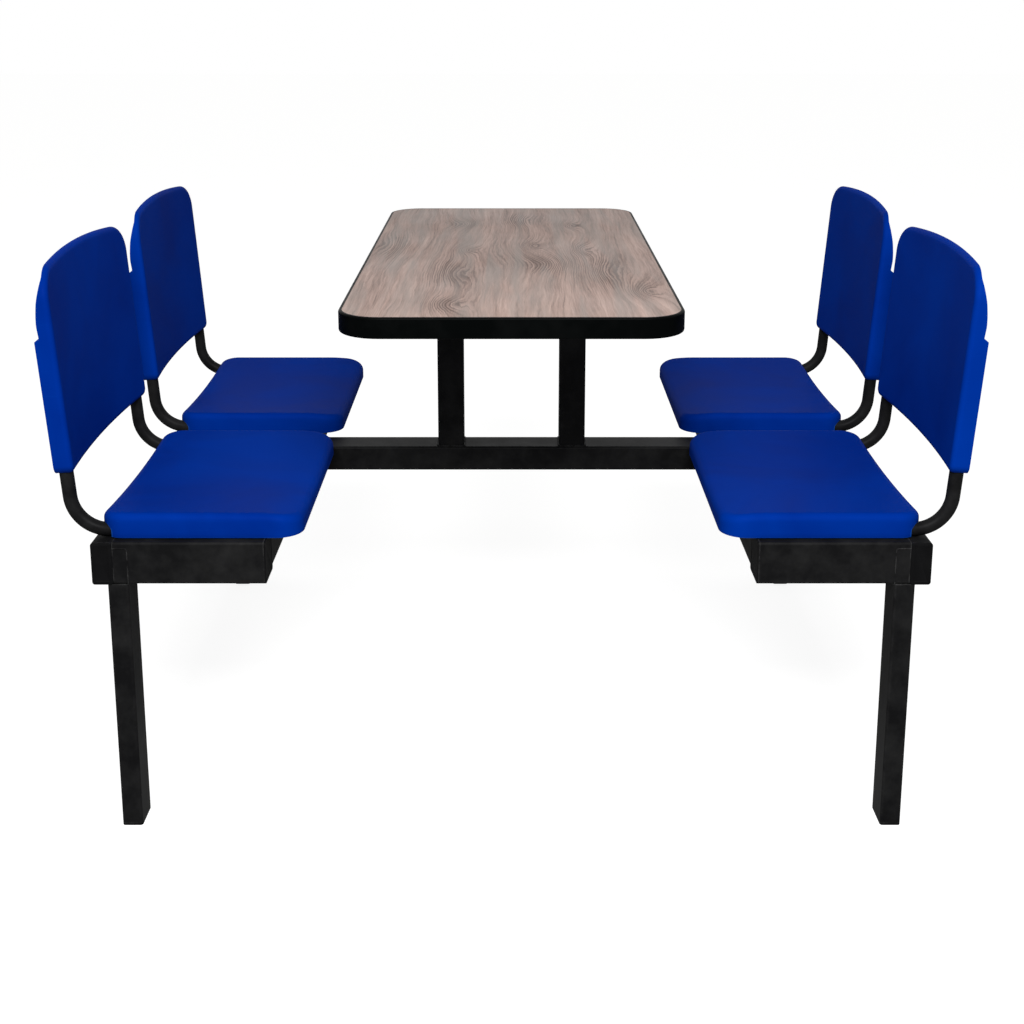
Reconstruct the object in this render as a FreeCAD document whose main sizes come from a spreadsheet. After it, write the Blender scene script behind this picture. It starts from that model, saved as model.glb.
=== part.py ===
import FreeCAD, Part
import Sketcher
import math
import os

# Canteen table with fixed seats on one welded tube frame.
# +Z is up, the floor is Z = 0, and the origin is on the floor under the middle of the top.
# The table's long side runs along Y. The seats stand at +X and -X and face the table.

vector = FreeCAD.Vector

sizes = {
    # table top
    "tableHeight": 780.0,
    "topWide": 480.0,
    "topLong": 1010.0,
    "topThick": 30.0,
    "topCorner": 60.0,
    "edgeWide": 5.0,
    "edgeRound": 3.0,
    "laminateThick": 0.8,
    # bars under the top
    "barWide": 40.0,
    "barHigh": 20.0,
    "barHalf": 380.0,
    "topScrewNear": 60.0,
    "topScrewEnd": 40.0,
    "topScrewBite": 14.0,
    "topScrewRadius": 2.4,
    "topScrewHead": 5.5,
    "topScrewHeadHigh": 2.6,
    # posts and centre beam
    "postInner": 82.0,
    "postWide": 44.0,
    "postHalf": 25.0,
    "beamHigh": 42.0,
    "beamHalf": 30.0,
    # side frames
    "frameTop": 445.0,
    "armHigh": 63.0,
    "armInner": 352.0,
    "armOuter": 598.0,
    "armFront": 470.0,
    "armDeep": 58.0,
    "railWide": 30.0,
    "tubeWall": 2.0,
    "tubeCorner": 4.0,
    "legOuter": 577.0,
    "legWide": 30.0,
    "legDeep": 50.0,
    "footThick": 3.0,
    "plugDeep": 12.0,
    "plugGap": 0.2,
    "capThick": 2.0,
    # seats
    "seatOffset": 250.0,
    "panFront": 300.0,
    "panRear": 588.0,
    "panHalf": 207.0,
    "panCorner": 33.0,
    "panLipCorner": 42.0,
    "panTop": 483.0,
    "panLow": 447.0,
    "panDish": 9.0,
    "panRoll": 14.0,
    "shellThick": 3.5,
    "dishHalf": 214.0,
    "bossRadius": 7.5,
    "bossHole": 3.1,
    "bossHoleDeep": 4.6,
    "padGap": 0.2,
    # seat frame tubes and straps
    "tubeRadius": 10.0,
    "tubeThick": 1.5,
    "tubeSide": 192.0,
    "tubeFront": 333.0,
    "bendRadius": 54.0,
    "strapWide": 25.0,
    "strapThick": 3.0,
    "strapHalf": 198.0,
    "strapFront": 372.0,
    "strapRear": 534.0,
    "strapHole": 3.3,
    "seatScrewSide": 105.0,
    "seatScrewRadius": 2.9,
    "seatScrewHead": 5.5,
    "seatScrewHeadHigh": 3.0,
    "seatScrewLong": 7.2,
    # backs
    "backX": 617.0,
    "backLow": 543.0,
    "backHalf": 210.0,
    "backHigh": 304.0,
    "backDeep": 28.0,
    "backCorner": 44.0,
    "backCrown": 1800.0,
    "backFoot": 14.0,
    "backDish": 12.0,
    "backRoll": 10.0,
    "pocketHigh": 206.0,
    "earDeep": 21.5,
    "earMiddle": 19.5,
    "earTop": 16.5,
    "tubeInset": 16.5,
    "tubeEnd": 195.0,
    "notchGap": 1.2,
    "footGap": 0.6,
    "notchTop": 469.0,
    "backScrewLow": 60.0,
    "backScrewHigh": 160.0,
    "backScrewRadius": 2.3,
    "backScrewHole": 2.5,
    "backScrewTip": 4.6,
    "backScrewBore": 4.2,
    "backScrewHead": 4.5,
    "backScrewHeadHigh": 1.4,
}
lean = 4.4

doc = FreeCAD.newDocument("canteen_table")
sheet = doc.addObject("Spreadsheet::Sheet", "dims")
for row, (word, value) in enumerate(sizes.items(), start=1):
    sheet.set(f"A{row}", word)
    sheet.set(f"B{row}", str(value))
    sheet.setAlias(f"B{row}", word)
leanRow = len(sizes) + 1
sheet.set(f"A{leanRow}", "backLean")
sheet.set(f"B{leanRow}", str(lean))
sheet.setAlias(f"B{leanRow}", "backLean")
doc.recompute()


def amount(text):
    """Number of a sum of products written with spaces, such as 'armOuter - railWide / 2'."""
    total, term, sign, divide = 0.0, None, 1.0, False
    for word in text.split() + ["+"]:
        if word in ("+", "-"):
            if term is not None:
                total += sign * term
            sign, term = (1.0 if word == "+" else -1.0), None
        elif word in ("*", "/"):
            divide = word == "/"
        else:
            value = sizes[word] if word in sizes else float(word)
            if term is None:
                term = value
            else:
                term = term / value if divide else term * value
    return total


def formula(text):
    return " ".join("dims." + word if word in sizes else word for word in text.split())


def negative(text):
    """The same sum with every sign turned round."""
    words = text.split()
    if words[0] not in ("+", "-"):
        words.insert(0, "+")
    flipped = " ".join({"+": "-", "-": "+"}.get(word, word) for word in words)
    return flipped.removeprefix("+ ")


def span(low, high):
    turned = negative(low)
    return f"{high} {turned}" if turned.startswith("-") else f"{high} + {turned}"


def bind(thing, path, text):
    thing.setExpression(path, formula(text))


def newBody(name):
    body = doc.addObject("PartDesign::Body", name)
    body.Label = name
    return body


def newSketch(body, name, role, offset="0"):
    """Sketch on one of the body's own planes, moved along the plane's normal by offset."""
    sketch = body.newObject("Sketcher::SketchObject", name)
    plane = next(item for item in body.Origin.OriginFeatures if item.Role == role)
    sketch.AttachmentSupport = [(plane, "")]
    sketch.MapMode = "FlatFace"
    sketch.AttachmentOffset = FreeCAD.Placement(vector(0, 0, amount(offset)), FreeCAD.Rotation())
    bind(sketch, "AttachmentOffset.Base.z", offset)
    return sketch


def hold(sketch, kind, where, value):
    """Adds a size to a sketch and ties it to the sheet."""
    number = sketch.addConstraint(Sketcher.Constraint(kind, *where, amount(value)))
    name = f"size{number}"
    sketch.renameConstraint(number, name)
    bind(sketch, "Constraints." + name, value)


def line(sketch, start, end):
    return sketch.addGeometry(Part.LineSegment(vector(*start, 0), vector(*end, 0)))


def arc(sketch, centre, radius, start, end):
    circle = Part.Circle(vector(*centre, 0), vector(0, 0, 1), radius)
    return sketch.addGeometry(Part.ArcOfCircle(circle, start, end))


def rectangle(sketch, left, right, low, high):
    x0, x1, y0, y1 = amount(left), amount(right), amount(low), amount(high)
    corners = [(x0, y0), (x1, y0), (x1, y1), (x0, y1)]
    sides = [line(sketch, corners[i], corners[(i + 1) % 4]) for i in range(4)]
    for i in range(4):
        sketch.addConstraint(Sketcher.Constraint("Coincident", sides[i], 2, sides[(i + 1) % 4], 1))
        sketch.addConstraint(Sketcher.Constraint("Vertical" if i % 2 else "Horizontal", sides[i]))
    hold(sketch, "DistanceX", (-1, 1, sides[0], 1), left)
    hold(sketch, "DistanceX", (-1, 1, sides[0], 2), right)
    hold(sketch, "DistanceY", (-1, 1, sides[0], 1), low)
    hold(sketch, "DistanceY", (-1, 1, sides[2], 1), high)


def roundedRectangle(sketch, left, right, low, high, radius, leftRadius=None):
    """Rectangle with round corners. The two corners at its left end may have a radius of their own."""
    x0, x1, y0, y1, r = amount(left), amount(right), amount(low), amount(high), amount(radius)
    q = amount(leftRadius) if leftRadius else r
    quarter = math.pi / 2
    pieces = [
        line(sketch, (x0 + q, y0), (x1 - r, y0)),
        arc(sketch, (x1 - r, y0 + r), r, -quarter, 0),
        line(sketch, (x1, y0 + r), (x1, y1 - r)),
        arc(sketch, (x1 - r, y1 - r), r, 0, quarter),
        line(sketch, (x1 - r, y1), (x0 + q, y1)),
        arc(sketch, (x0 + q, y1 - q), q, quarter, 2 * quarter),
        line(sketch, (x0, y1 - q), (x0, y0 + q)),
        arc(sketch, (x0 + q, y0 + q), q, 2 * quarter, 3 * quarter),
    ]
    for i, piece in enumerate(pieces):
        sketch.addConstraint(Sketcher.Constraint("Tangent", piece, 2, pieces[(i + 1) % 8], 1))
    for i in (0, 4):
        sketch.addConstraint(Sketcher.Constraint("Horizontal", pieces[i]))
    for first, second in ((1, 3), (5, 7)) if leftRadius else ((1, 3), (1, 5), (1, 7)):
        sketch.addConstraint(Sketcher.Constraint("Equal", pieces[first], pieces[second]))
    hold(sketch, "Radius", (pieces[1],), radius)
    if leftRadius:
        hold(sketch, "Radius", (pieces[5],), leftRadius)
    hold(sketch, "DistanceX", (-1, 1, pieces[6], 1), left)
    hold(sketch, "DistanceX", (-1, 1, pieces[2], 1), right)
    hold(sketch, "DistanceY", (-1, 1, pieces[0], 1), low)
    hold(sketch, "DistanceY", (-1, 1, pieces[4], 1), high)


def circle(sketch, x, y, radius):
    shape = Part.Circle(vector(amount(x), amount(y), 0), vector(0, 0, 1), amount(radius))
    ring = sketch.addGeometry(shape)
    hold(sketch, "Radius", (ring,), radius)
    for kind, place in (("DistanceX", x), ("DistanceY", y)):
        if amount(place) == 0:
            sketch.addConstraint(Sketcher.Constraint("PointOnObject", ring, 3, -2 if kind == "DistanceX" else -1))
        else:
            hold(sketch, kind, (-1, 1, ring, 3), place)


def pad(body, sketch, name, length):
    feature = body.newObject("PartDesign::Pad", name)
    feature.Profile = sketch
    feature.Length = amount(length)
    bind(feature, "Length", length)
    sketch.Visibility = False
    return feature


def pocket(body, sketch, name, length=None, backwards=False):
    """Cuts a sketch out of the body and makes sure that it did cut."""
    doc.recompute()
    before = body.Shape.Volume
    feature = body.newObject("PartDesign::Pocket", name)
    feature.Profile = sketch
    if length is None:
        feature.Type = "ThroughAll"
        feature.Midplane = True
    else:
        feature.Length = amount(length)
        bind(feature, "Length", length)
        feature.Reversed = backwards
    doc.recompute()
    if body.Shape.Volume > before - 1e-3:
        raise RuntimeError(f"{name} cuts nothing")
    return feature


def edgesWhere(shape, test):
    return [f"Edge{i}" for i, edge in enumerate(shape.Edges, start=1) if test(edge.BoundBox)]


def facesWhere(shape, test):
    return [f"Face{i}" for i, face in enumerate(shape.Faces, start=1) if test(face.BoundBox)]


def dishCut(body, name, role, half, sag, level):
    """Cylindrical hollow: an arc under a chord, cut right through the body.
    half is half the chord, sag the depth of the hollow and level the chord's distance."""
    doc.recompute()
    sketch = newSketch(body, name + "_sketch", role)
    h, s, z = amount(half), amount(sag), amount(level)
    radius = (h * h + s * s) / 2 / s
    swing = math.asin(h / radius)
    upright = role == "XY_Plane"
    # on the XY plane the hollow is open towards -X, on the YZ plane it is open upwards
    if upright:
        bow = arc(sketch, (z + s - radius, 0), radius, -swing, swing)
        chord = line(sketch, (z, h), (z, -h))
    else:
        bow = arc(sketch, (0, z - s + radius), radius, 1.5 * math.pi - swing, 1.5 * math.pi + swing)
        chord = line(sketch, (h, z), (-h, z))
    sketch.addConstraint(Sketcher.Constraint("Coincident", bow, 2, chord, 1))
    sketch.addConstraint(Sketcher.Constraint("Coincident", chord, 2, bow, 1))
    across, along = ("DistanceY", "DistanceX") if upright else ("DistanceX", "DistanceY")
    hold(sketch, across, (-1, 1, chord, 1), half)
    hold(sketch, across, (-1, 1, chord, 2), "- " + half)
    if z == 0:
        sketch.addConstraint(Sketcher.Constraint("PointOnObject", chord, 1, -2 if upright else -1))
        sketch.addConstraint(Sketcher.Constraint("PointOnObject", chord, 2, -2 if upright else -1))
    else:
        hold(sketch, along, (-1, 1, chord, 1), level)
        hold(sketch, along, (-1, 1, chord, 2), level)
    hold(sketch, "Radius", (bow,), f"{half} * {half} / {sag} / 2 + {sag} / 2")
    return pocket(body, sketch, name)


def skinOf(body, base, openFace, thick):
    """Hollows a block out to a shell, open at one face."""
    feature = body.newObject("PartDesign::Thickness", body.Label + "_skin")
    feature.Base = (base, openFace)
    feature.Value = amount(thick)
    feature.Reversed = True
    bind(feature, "Value", thick)
    doc.recompute()
    return feature


def bar(name, axis, first, second, start, end, corner="tubeCorner"):
    """Solid bar of round-cornered section, and the sketch it is made from.
    first and second are (low, high) across it, in X, Y, Z order without its axis."""
    body = newBody(name)
    role = {"x": "YZ_Plane", "y": "XZ_Plane", "z": "XY_Plane"}[axis]
    # the XZ plane's normal is -Y, so a bar along Y starts from its far end
    offset = negative(end) if axis == "y" else start
    sketch = newSketch(body, name + "_section", role, offset)
    roundedRectangle(sketch, first[0], first[1], second[0], second[1], corner)
    pad(body, sketch, name + "_length", span(start, end))
    return body, sketch


def boxTube(name, axis, first, second, start, end):
    """The same bar made hollow."""
    body, sketch = bar(name, axis, first, second, start, end)
    inner = [f"{first[0]} + tubeWall", f"{first[1]} - tubeWall", f"{second[0]} + tubeWall", f"{second[1]} - tubeWall"]
    roundedRectangle(sketch, *inner, "tubeCorner - tubeWall")
    return body


def together(name, pieces):
    """One node of several like pieces, or one piece of several shapes."""
    node = doc.addObject("Part::MultiFuse", name)
    node.Shapes = pieces
    node.Label = name
    return node


nodes = []


def keep(node):
    nodes.append(node)
    return node


# --- table top: particle board core, laminate above and below, black edge band round it

def topPlate(name, low, thick):
    body = newBody(name)
    sketch = newSketch(body, name + "_outline", "XY_Plane", low)
    roundedRectangle(sketch, "- topWide / 2 + edgeWide", "topWide / 2 - edgeWide",
                     "- topLong / 2 + edgeWide", "topLong / 2 - edgeWide", "topCorner - edgeWide")
    pad(body, sketch, name + "_plate", thick)
    return body


barMiddle = "postInner + postWide / 2"
topScrewRow = ("topScrewNear", "barHalf - topScrewEnd", "- topScrewNear", "- barHalf + topScrewEnd")
topScrewPlaces = [(side, where) for side in ("", "- ") for where in topScrewRow]


def topScrewHoles(body, name, low, deep):
    sketch = newSketch(body, name, "XY_Plane", low)
    for side, where in topScrewPlaces:
        x = barMiddle if side == "" else "- postInner - postWide / 2"
        circle(sketch, x, where, "topScrewRadius + plugGap")
    pocket(body, sketch, name + "_cut", deep, backwards=True)


core = keep(topPlate("table_core", "tableHeight - topThick + laminateThick", "topThick - laminateThick - laminateThick"))
topScrewHoles(core, "pilot_holes", "tableHeight - topThick + laminateThick", "topScrewBite")
backer = keep(topPlate("table_backer", "tableHeight - topThick", "laminateThick"))
topScrewHoles(backer, "backer_holes", "tableHeight - topThick", "laminateThick")
keep(topPlate("table_laminate", "tableHeight - laminateThick", "laminateThick"))

edge = keep(newBody("table_edge"))
edgeSketch = newSketch(edge, "edge_outline", "XY_Plane", "tableHeight - topThick")
roundedRectangle(edgeSketch, "- topWide / 2", "topWide / 2", "- topLong / 2", "topLong / 2", "topCorner")
roundedRectangle(edgeSketch, "- topWide / 2 + edgeWide", "topWide / 2 - edgeWide",
                 "- topLong / 2 + edgeWide", "topLong / 2 - edgeWide", "topCorner - edgeWide")
edgeBand = pad(edge, edgeSketch, "edge_band", "topThick")
doc.recompute()
halfLong = sizes["topLong"] / 2
halfWide = sizes["topWide"] / 2
corner = sizes["topCorner"]
bandTop = sizes["tableHeight"]
bandLow = sizes["tableHeight"] - sizes["topThick"]


def onOuterRim(box):
    flat = box.ZLength < 0.01 and (abs(box.ZMin - bandTop) < 0.01 or abs(box.ZMin - bandLow) < 0.01)
    reach = max(abs(box.XMin), abs(box.XMax)) > halfWide - 0.1 or max(abs(box.YMin), abs(box.YMax)) > halfLong - 0.1
    return flat and reach


edgeRounding = edge.newObject("PartDesign::Fillet", "edge_rounding")
edgeRounding.Base = (edgeBand, edgesWhere(edgeBand.Shape, onOuterRim))
edgeRounding.Radius = sizes["edgeRound"]
bind(edgeRounding, "Radius", "edgeRound")

# --- bars under the top, their screws and end caps

barLow = "tableHeight - topThick - barHigh"
barTop = "tableHeight - topThick"
topScrewPieces = []
barCapPieces = []
for side in ("left", "right"):
    if side == "right":
        across = ("postInner + postWide / 2 - barWide / 2", "postInner + postWide / 2 + barWide / 2")
        middle = barMiddle
    else:
        across = ("- postInner - postWide / 2 - barWide / 2", "- postInner - postWide / 2 + barWide / 2")
        middle = "- postInner - postWide / 2"
    topBar = keep(boxTube(f"top_bar_{side}", "y", across, (barLow, barTop), "- barHalf", "barHalf"))
    doc.recompute()
    holes = newSketch(topBar, f"bar_holes_{side}", "XY_Plane", barLow)
    for where in topScrewRow:
        circle(holes, middle, where, "topScrewRadius + plugGap")
        for radius, low, high, tag in (("topScrewHead", f"{barLow} - topScrewHeadHigh", "topScrewHeadHigh", "head"),
                                       ("topScrewRadius", barLow, "barHigh + topScrewBite", "shank")):
            screw = doc.addObject("Part::Cylinder", f"top_screw_{tag}")
            bind(screw, "Radius", radius)
            bind(screw, "Height", high)
            bind(screw, "Placement.Base.x", middle)
            bind(screw, "Placement.Base.y", where)
            bind(screw, "Placement.Base.z", low)
            topScrewPieces.append(screw)
    pocket(topBar, holes, f"bar_holes_{side}_cut", "barHigh", backwards=True)
    for low, high in (("barHalf", "barHalf + capThick"), ("- barHalf - capThick", "- barHalf")):
        barCapPieces.append(bar("bar_cap", "y", across, (barLow, barTop), low, high)[0])
keep(together("top_screws", topScrewPieces))
keep(together("top_bar_caps", barCapPieces))

# --- posts and centre beam

for side in ("left", "right"):
    if side == "right":
        across = ("postInner", "postInner + postWide")
    else:
        across = ("- postInner - postWide", "- postInner")
    keep(boxTube(f"post_{side}", "z", across, ("- postHalf", "postHalf"), "frameTop", barLow))
keep(boxTube("center_beam", "x", ("- beamHalf", "beamHalf"), ("frameTop - beamHigh", "frameTop"),
             "- armInner", "armInner"))

# --- side frames: two arms and two rails each side, all with their tops level

armLevel = ("frameTop - armHigh", "frameTop")
railCapPieces = []
armCapPieces = []
for side in ("left", "right"):
    right = side == "right"
    inner = ("armInner", "armInner + railWide") if right else ("- armInner - railWide", "- armInner")
    outer = ("armOuter - railWide", "armOuter") if right else ("- armOuter", "- armOuter + railWide")
    keep(boxTube(f"rail_inner_{side}", "y", inner, armLevel, "- armFront + armDeep", "armFront - armDeep"))
    keep(boxTube(f"rail_outer_{side}", "y", outer, armLevel, "- armFront", "armFront"))
    for row in ("front", "rear"):
        depth = ("- armFront", "- armFront + armDeep") if row == "front" else ("armFront - armDeep", "armFront")
        reach = ("armInner", "armOuter - railWide") if right else ("- armOuter + railWide", "- armInner")
        keep(boxTube(f"arm_{row}_{side}", "x", depth, armLevel, *reach))
        legX = ("legOuter - legWide", "legOuter") if right else ("- legOuter", "- legOuter + legWide")
        legY = ("- armFront", "- armFront + legDeep") if row == "front" else ("armFront - legDeep", "armFront")
        keep(boxTube(f"leg_{row}_{side}", "z", legX, legY, "footThick", "frameTop - armHigh"))
        # a foot cap closes the leg's open end, with a plug that goes up inside it
        sole, _ = bar(f"sole_{row}_{side}", "z", legX, legY, "0", "footThick")
        plugX, plugY = ((f"{low} + tubeWall + plugGap", f"{high} - tubeWall - plugGap") for low, high in (legX, legY))
        plug, _ = bar(f"plug_{row}_{side}", "z", plugX, plugY, "footThick", "footThick + plugDeep",
                      "tubeCorner - tubeWall - plugGap")
        keep(together(f"foot_{row}_{side}", [sole, plug]))
        endX = ("armInner - capThick", "armInner") if right else ("- armInner", "- armInner + capThick")
        armCapPieces.append(bar("arm_cap", "x", depth, armLevel, *endX)[0])
        endY = ("- armFront - capThick", "- armFront") if row == "front" else ("armFront", "armFront + capThick")
        railCapPieces.append(bar("rail_cap", "y", outer, armLevel, *endY)[0])
keep(together("arm_end_caps", armCapPieces))
keep(together("rail_end_caps", railCapPieces))

# --- seats

strapLow = sizes["frameTop"] + 2 * sizes["tubeRadius"]
panFoot = "frameTop + tubeRadius + tubeRadius + strapThick + padGap"


def seatPan(name):
    body = newBody(name)
    outline = newSketch(body, name + "_outline", "XY_Plane", "panLow")
    roundedRectangle(outline, "panFront", "panRear", "- panHalf", "panHalf", "panCorner", "panLipCorner")
    pad(body, outline, name + "_block", "panTop - panLow")
    hollow = dishCut(body, name + "_dish", "YZ_Plane", "dishHalf", "panDish", "panTop")
    level = sizes["panTop"] - sizes["panDish"] - 5
    roll = body.newObject("PartDesign::Fillet", name + "_roll")
    roll.Base = (hollow, edgesWhere(hollow.Shape, lambda box: box.ZMin > level))
    roll.Radius = sizes["panRoll"]
    bind(roll, "Radius", "panRoll")
    doc.recompute()
    low = sizes["panLow"]
    skin = skinOf(body, roll, facesWhere(roll.Shape, lambda box: box.ZMax < low + 0.01), "shellThick")
    # four screw bosses stand down from the shell to the straps
    places = [(x, y) for x in ("strapFront", "strapRear") for y in ("seatScrewSide", "- seatScrewSide")]
    bosses = newSketch(body, name + "_bosses", "XY_Plane", panFoot)
    for x, y in places:
        circle(bosses, x, y, "bossRadius")
    pad(body, bosses, name + "_boss_pad", span(panFoot, "panTop - panDish"))
    doc.recompute()
    holes = newSketch(body, name + "_holes", "XY_Plane", panFoot)
    for x, y in places:
        circle(holes, x, y, "bossHole")
    pocket(body, holes, name + "_hole_cut", "bossHoleDeep", backwards=True)
    # the tubes come out through two notches in the rear skirt
    notches = newSketch(body, name + "_notches", "YZ_Plane", "panRear - panRoll - panRoll")
    for sign in ("", "- "):
        if sign:
            rectangle(notches, "- tubeSide - tubeRadius - notchGap", "- tubeSide + tubeRadius + notchGap",
                      "panLow - 1", "notchTop")
        else:
            rectangle(notches, "tubeSide - tubeRadius - notchGap", "tubeSide + tubeRadius + notchGap",
                      "panLow - 1", "notchTop")
    pocket(body, notches, name + "_notch_cut", "panRoll + panRoll + 1", backwards=True)
    return body


def backShell(name):
    """Built upright with its front plane at X = 0 and its foot at Z = 0, then leant back."""
    body = newBody(name)
    hy, hz = sizes["backHalf"], sizes["backHigh"]
    top, foot, crown = sizes["backCorner"], sizes["backFoot"], sizes["backCrown"]
    crownZ = hz - crown
    cornerZ = crownZ + math.sqrt((crown - top) ** 2 - (hy - top) ** 2)
    turn = math.atan2(cornerZ - crownZ, hy - top)
    sketch = newSketch(body, name + "_outline", "YZ_Plane")
    pieces = [
        line(sketch, (foot - hy, 0), (hy - foot, 0)),
        arc(sketch, (hy - foot, foot), foot, -math.pi / 2, 0),
        line(sketch, (hy, foot), (hy, cornerZ)),
        arc(sketch, (hy - top, cornerZ), top, 0, turn),
        arc(sketch, (0, crownZ), crown, turn, math.pi - turn),
        arc(sketch, (top - hy, cornerZ), top, math.pi - turn, math.pi),
        line(sketch, (-hy, cornerZ), (-hy, foot)),
        arc(sketch, (foot - hy, foot), foot, math.pi, 1.5 * math.pi),
    ]
    for i, piece in enumerate(pieces):
        sketch.addConstraint(Sketcher.Constraint("Tangent", piece, 2, pieces[(i + 1) % 8], 1))
    sketch.addConstraint(Sketcher.Constraint("PointOnObject", pieces[0], 1, -1))
    sketch.addConstraint(Sketcher.Constraint("Horizontal", pieces[0]))
    sketch.addConstraint(Sketcher.Constraint("Equal", pieces[1], pieces[7]))
    sketch.addConstraint(Sketcher.Constraint("Equal", pieces[3], pieces[5]))
    sketch.addConstraint(Sketcher.Constraint("PointOnObject", pieces[4], 3, -2))
    hold(sketch, "Radius", (pieces[1],), "backFoot")
    hold(sketch, "Radius", (pieces[3],), "backCorner")
    hold(sketch, "Radius", (pieces[4],), "backCrown")
    hold(sketch, "DistanceX", (-1, 1, pieces[2], 1), "backHalf")
    hold(sketch, "DistanceX", (-1, 1, pieces[6], 1), "- backHalf")
    hold(sketch, "DistanceY", (-1, 1, pieces[4], 3), "backHigh - backCrown")
    pad(body, sketch, name + "_block", "backDeep")
    hollow = dishCut(body, name + "_dish", "XY_Plane", "dishHalf", "backDish", "0")
    reach = sizes["backDish"] + 0.6
    roll = body.newObject("PartDesign::Fillet", name + "_roll")
    roll.Base = (hollow, edgesWhere(hollow.Shape, lambda box: box.XMax < reach))
    roll.Radius = sizes["backRoll"]
    bind(roll, "Radius", "backRoll")
    doc.recompute()
    deep = sizes["backDeep"]
    skinOf(body, roll, facesWhere(roll.Shape, lambda box: box.XMin > deep - 0.1), "shellThick")
    # above the tube pockets the rim is shallower and runs out in a curve at the top corners
    ear = newSketch(body, name + "_ear", "XZ_Plane")
    low, high = sizes["pocketHigh"], hz + 8
    bottom, upper = sizes["earDeep"], sizes["earTop"]
    middle = vector(sizes["earMiddle"], low + 60, 0)
    bow = ear.addGeometry(Part.Arc(vector(bottom, low, 0), middle, vector(upper, high, 0)))
    sides = [line(ear, (upper, high), (40, high)), line(ear, (40, high), (40, low)), line(ear, (40, low), (bottom, low))]
    for first, second in ((bow, sides[0]), (sides[0], sides[1]), (sides[1], sides[2]), (sides[2], bow)):
        ends = sketchEnds(ear, first, second)
        ear.addConstraint(Sketcher.Constraint("Coincident", first, ends[0], second, ends[1]))
    hold(ear, "DistanceX", (-1, 1, sides[2], 2), "earDeep")
    hold(ear, "DistanceX", (-1, 1, sides[0], 1), "earTop")
    hold(ear, "DistanceY", (-1, 1, sides[2], 2), "pocketHigh")
    hold(ear, "DistanceY", (-1, 1, sides[0], 1), "backHigh + 8")
    pocket(body, ear, name + "_ear_cut")
    # blind holes for the four screws that come through the tubes
    holes = newSketch(body, name + "_holes", "YZ_Plane", "tubeInset")
    for y in ("tubeSide", "- tubeSide"):
        for z in ("backScrewLow", "backScrewHigh"):
            circle(holes, y, z, "backScrewHole")
    pocket(body, holes, name + "_hole_cut", "tubeInset - backScrewBore")
    # the tubes go up into the shell through two notches in its foot, open to the rear
    notches = newSketch(body, name + "_notches", "XY_Plane", "- 1")
    for low, high in (("tubeSide - tubeRadius - footGap", "tubeSide + tubeRadius + footGap"),
                      ("- tubeSide - tubeRadius - footGap", "- tubeSide + tubeRadius + footGap")):
        rectangle(notches, "tubeInset - tubeRadius - padGap", "backDeep + 1", low, high)
    pocket(body, notches, name + "_notch_cut", "backRoll + 1", backwards=True)
    return body


def sketchEnds(sketch, first, second):
    """Which ends of two pieces of a sketch meet."""
    for a in (1, 2):
        for b in (1, 2):
            if sketch.getPoint(first, a).distanceToPoint(sketch.getPoint(second, b)) < 0.01:
                return a, b
    raise RuntimeError("the two pieces don't meet")


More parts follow.
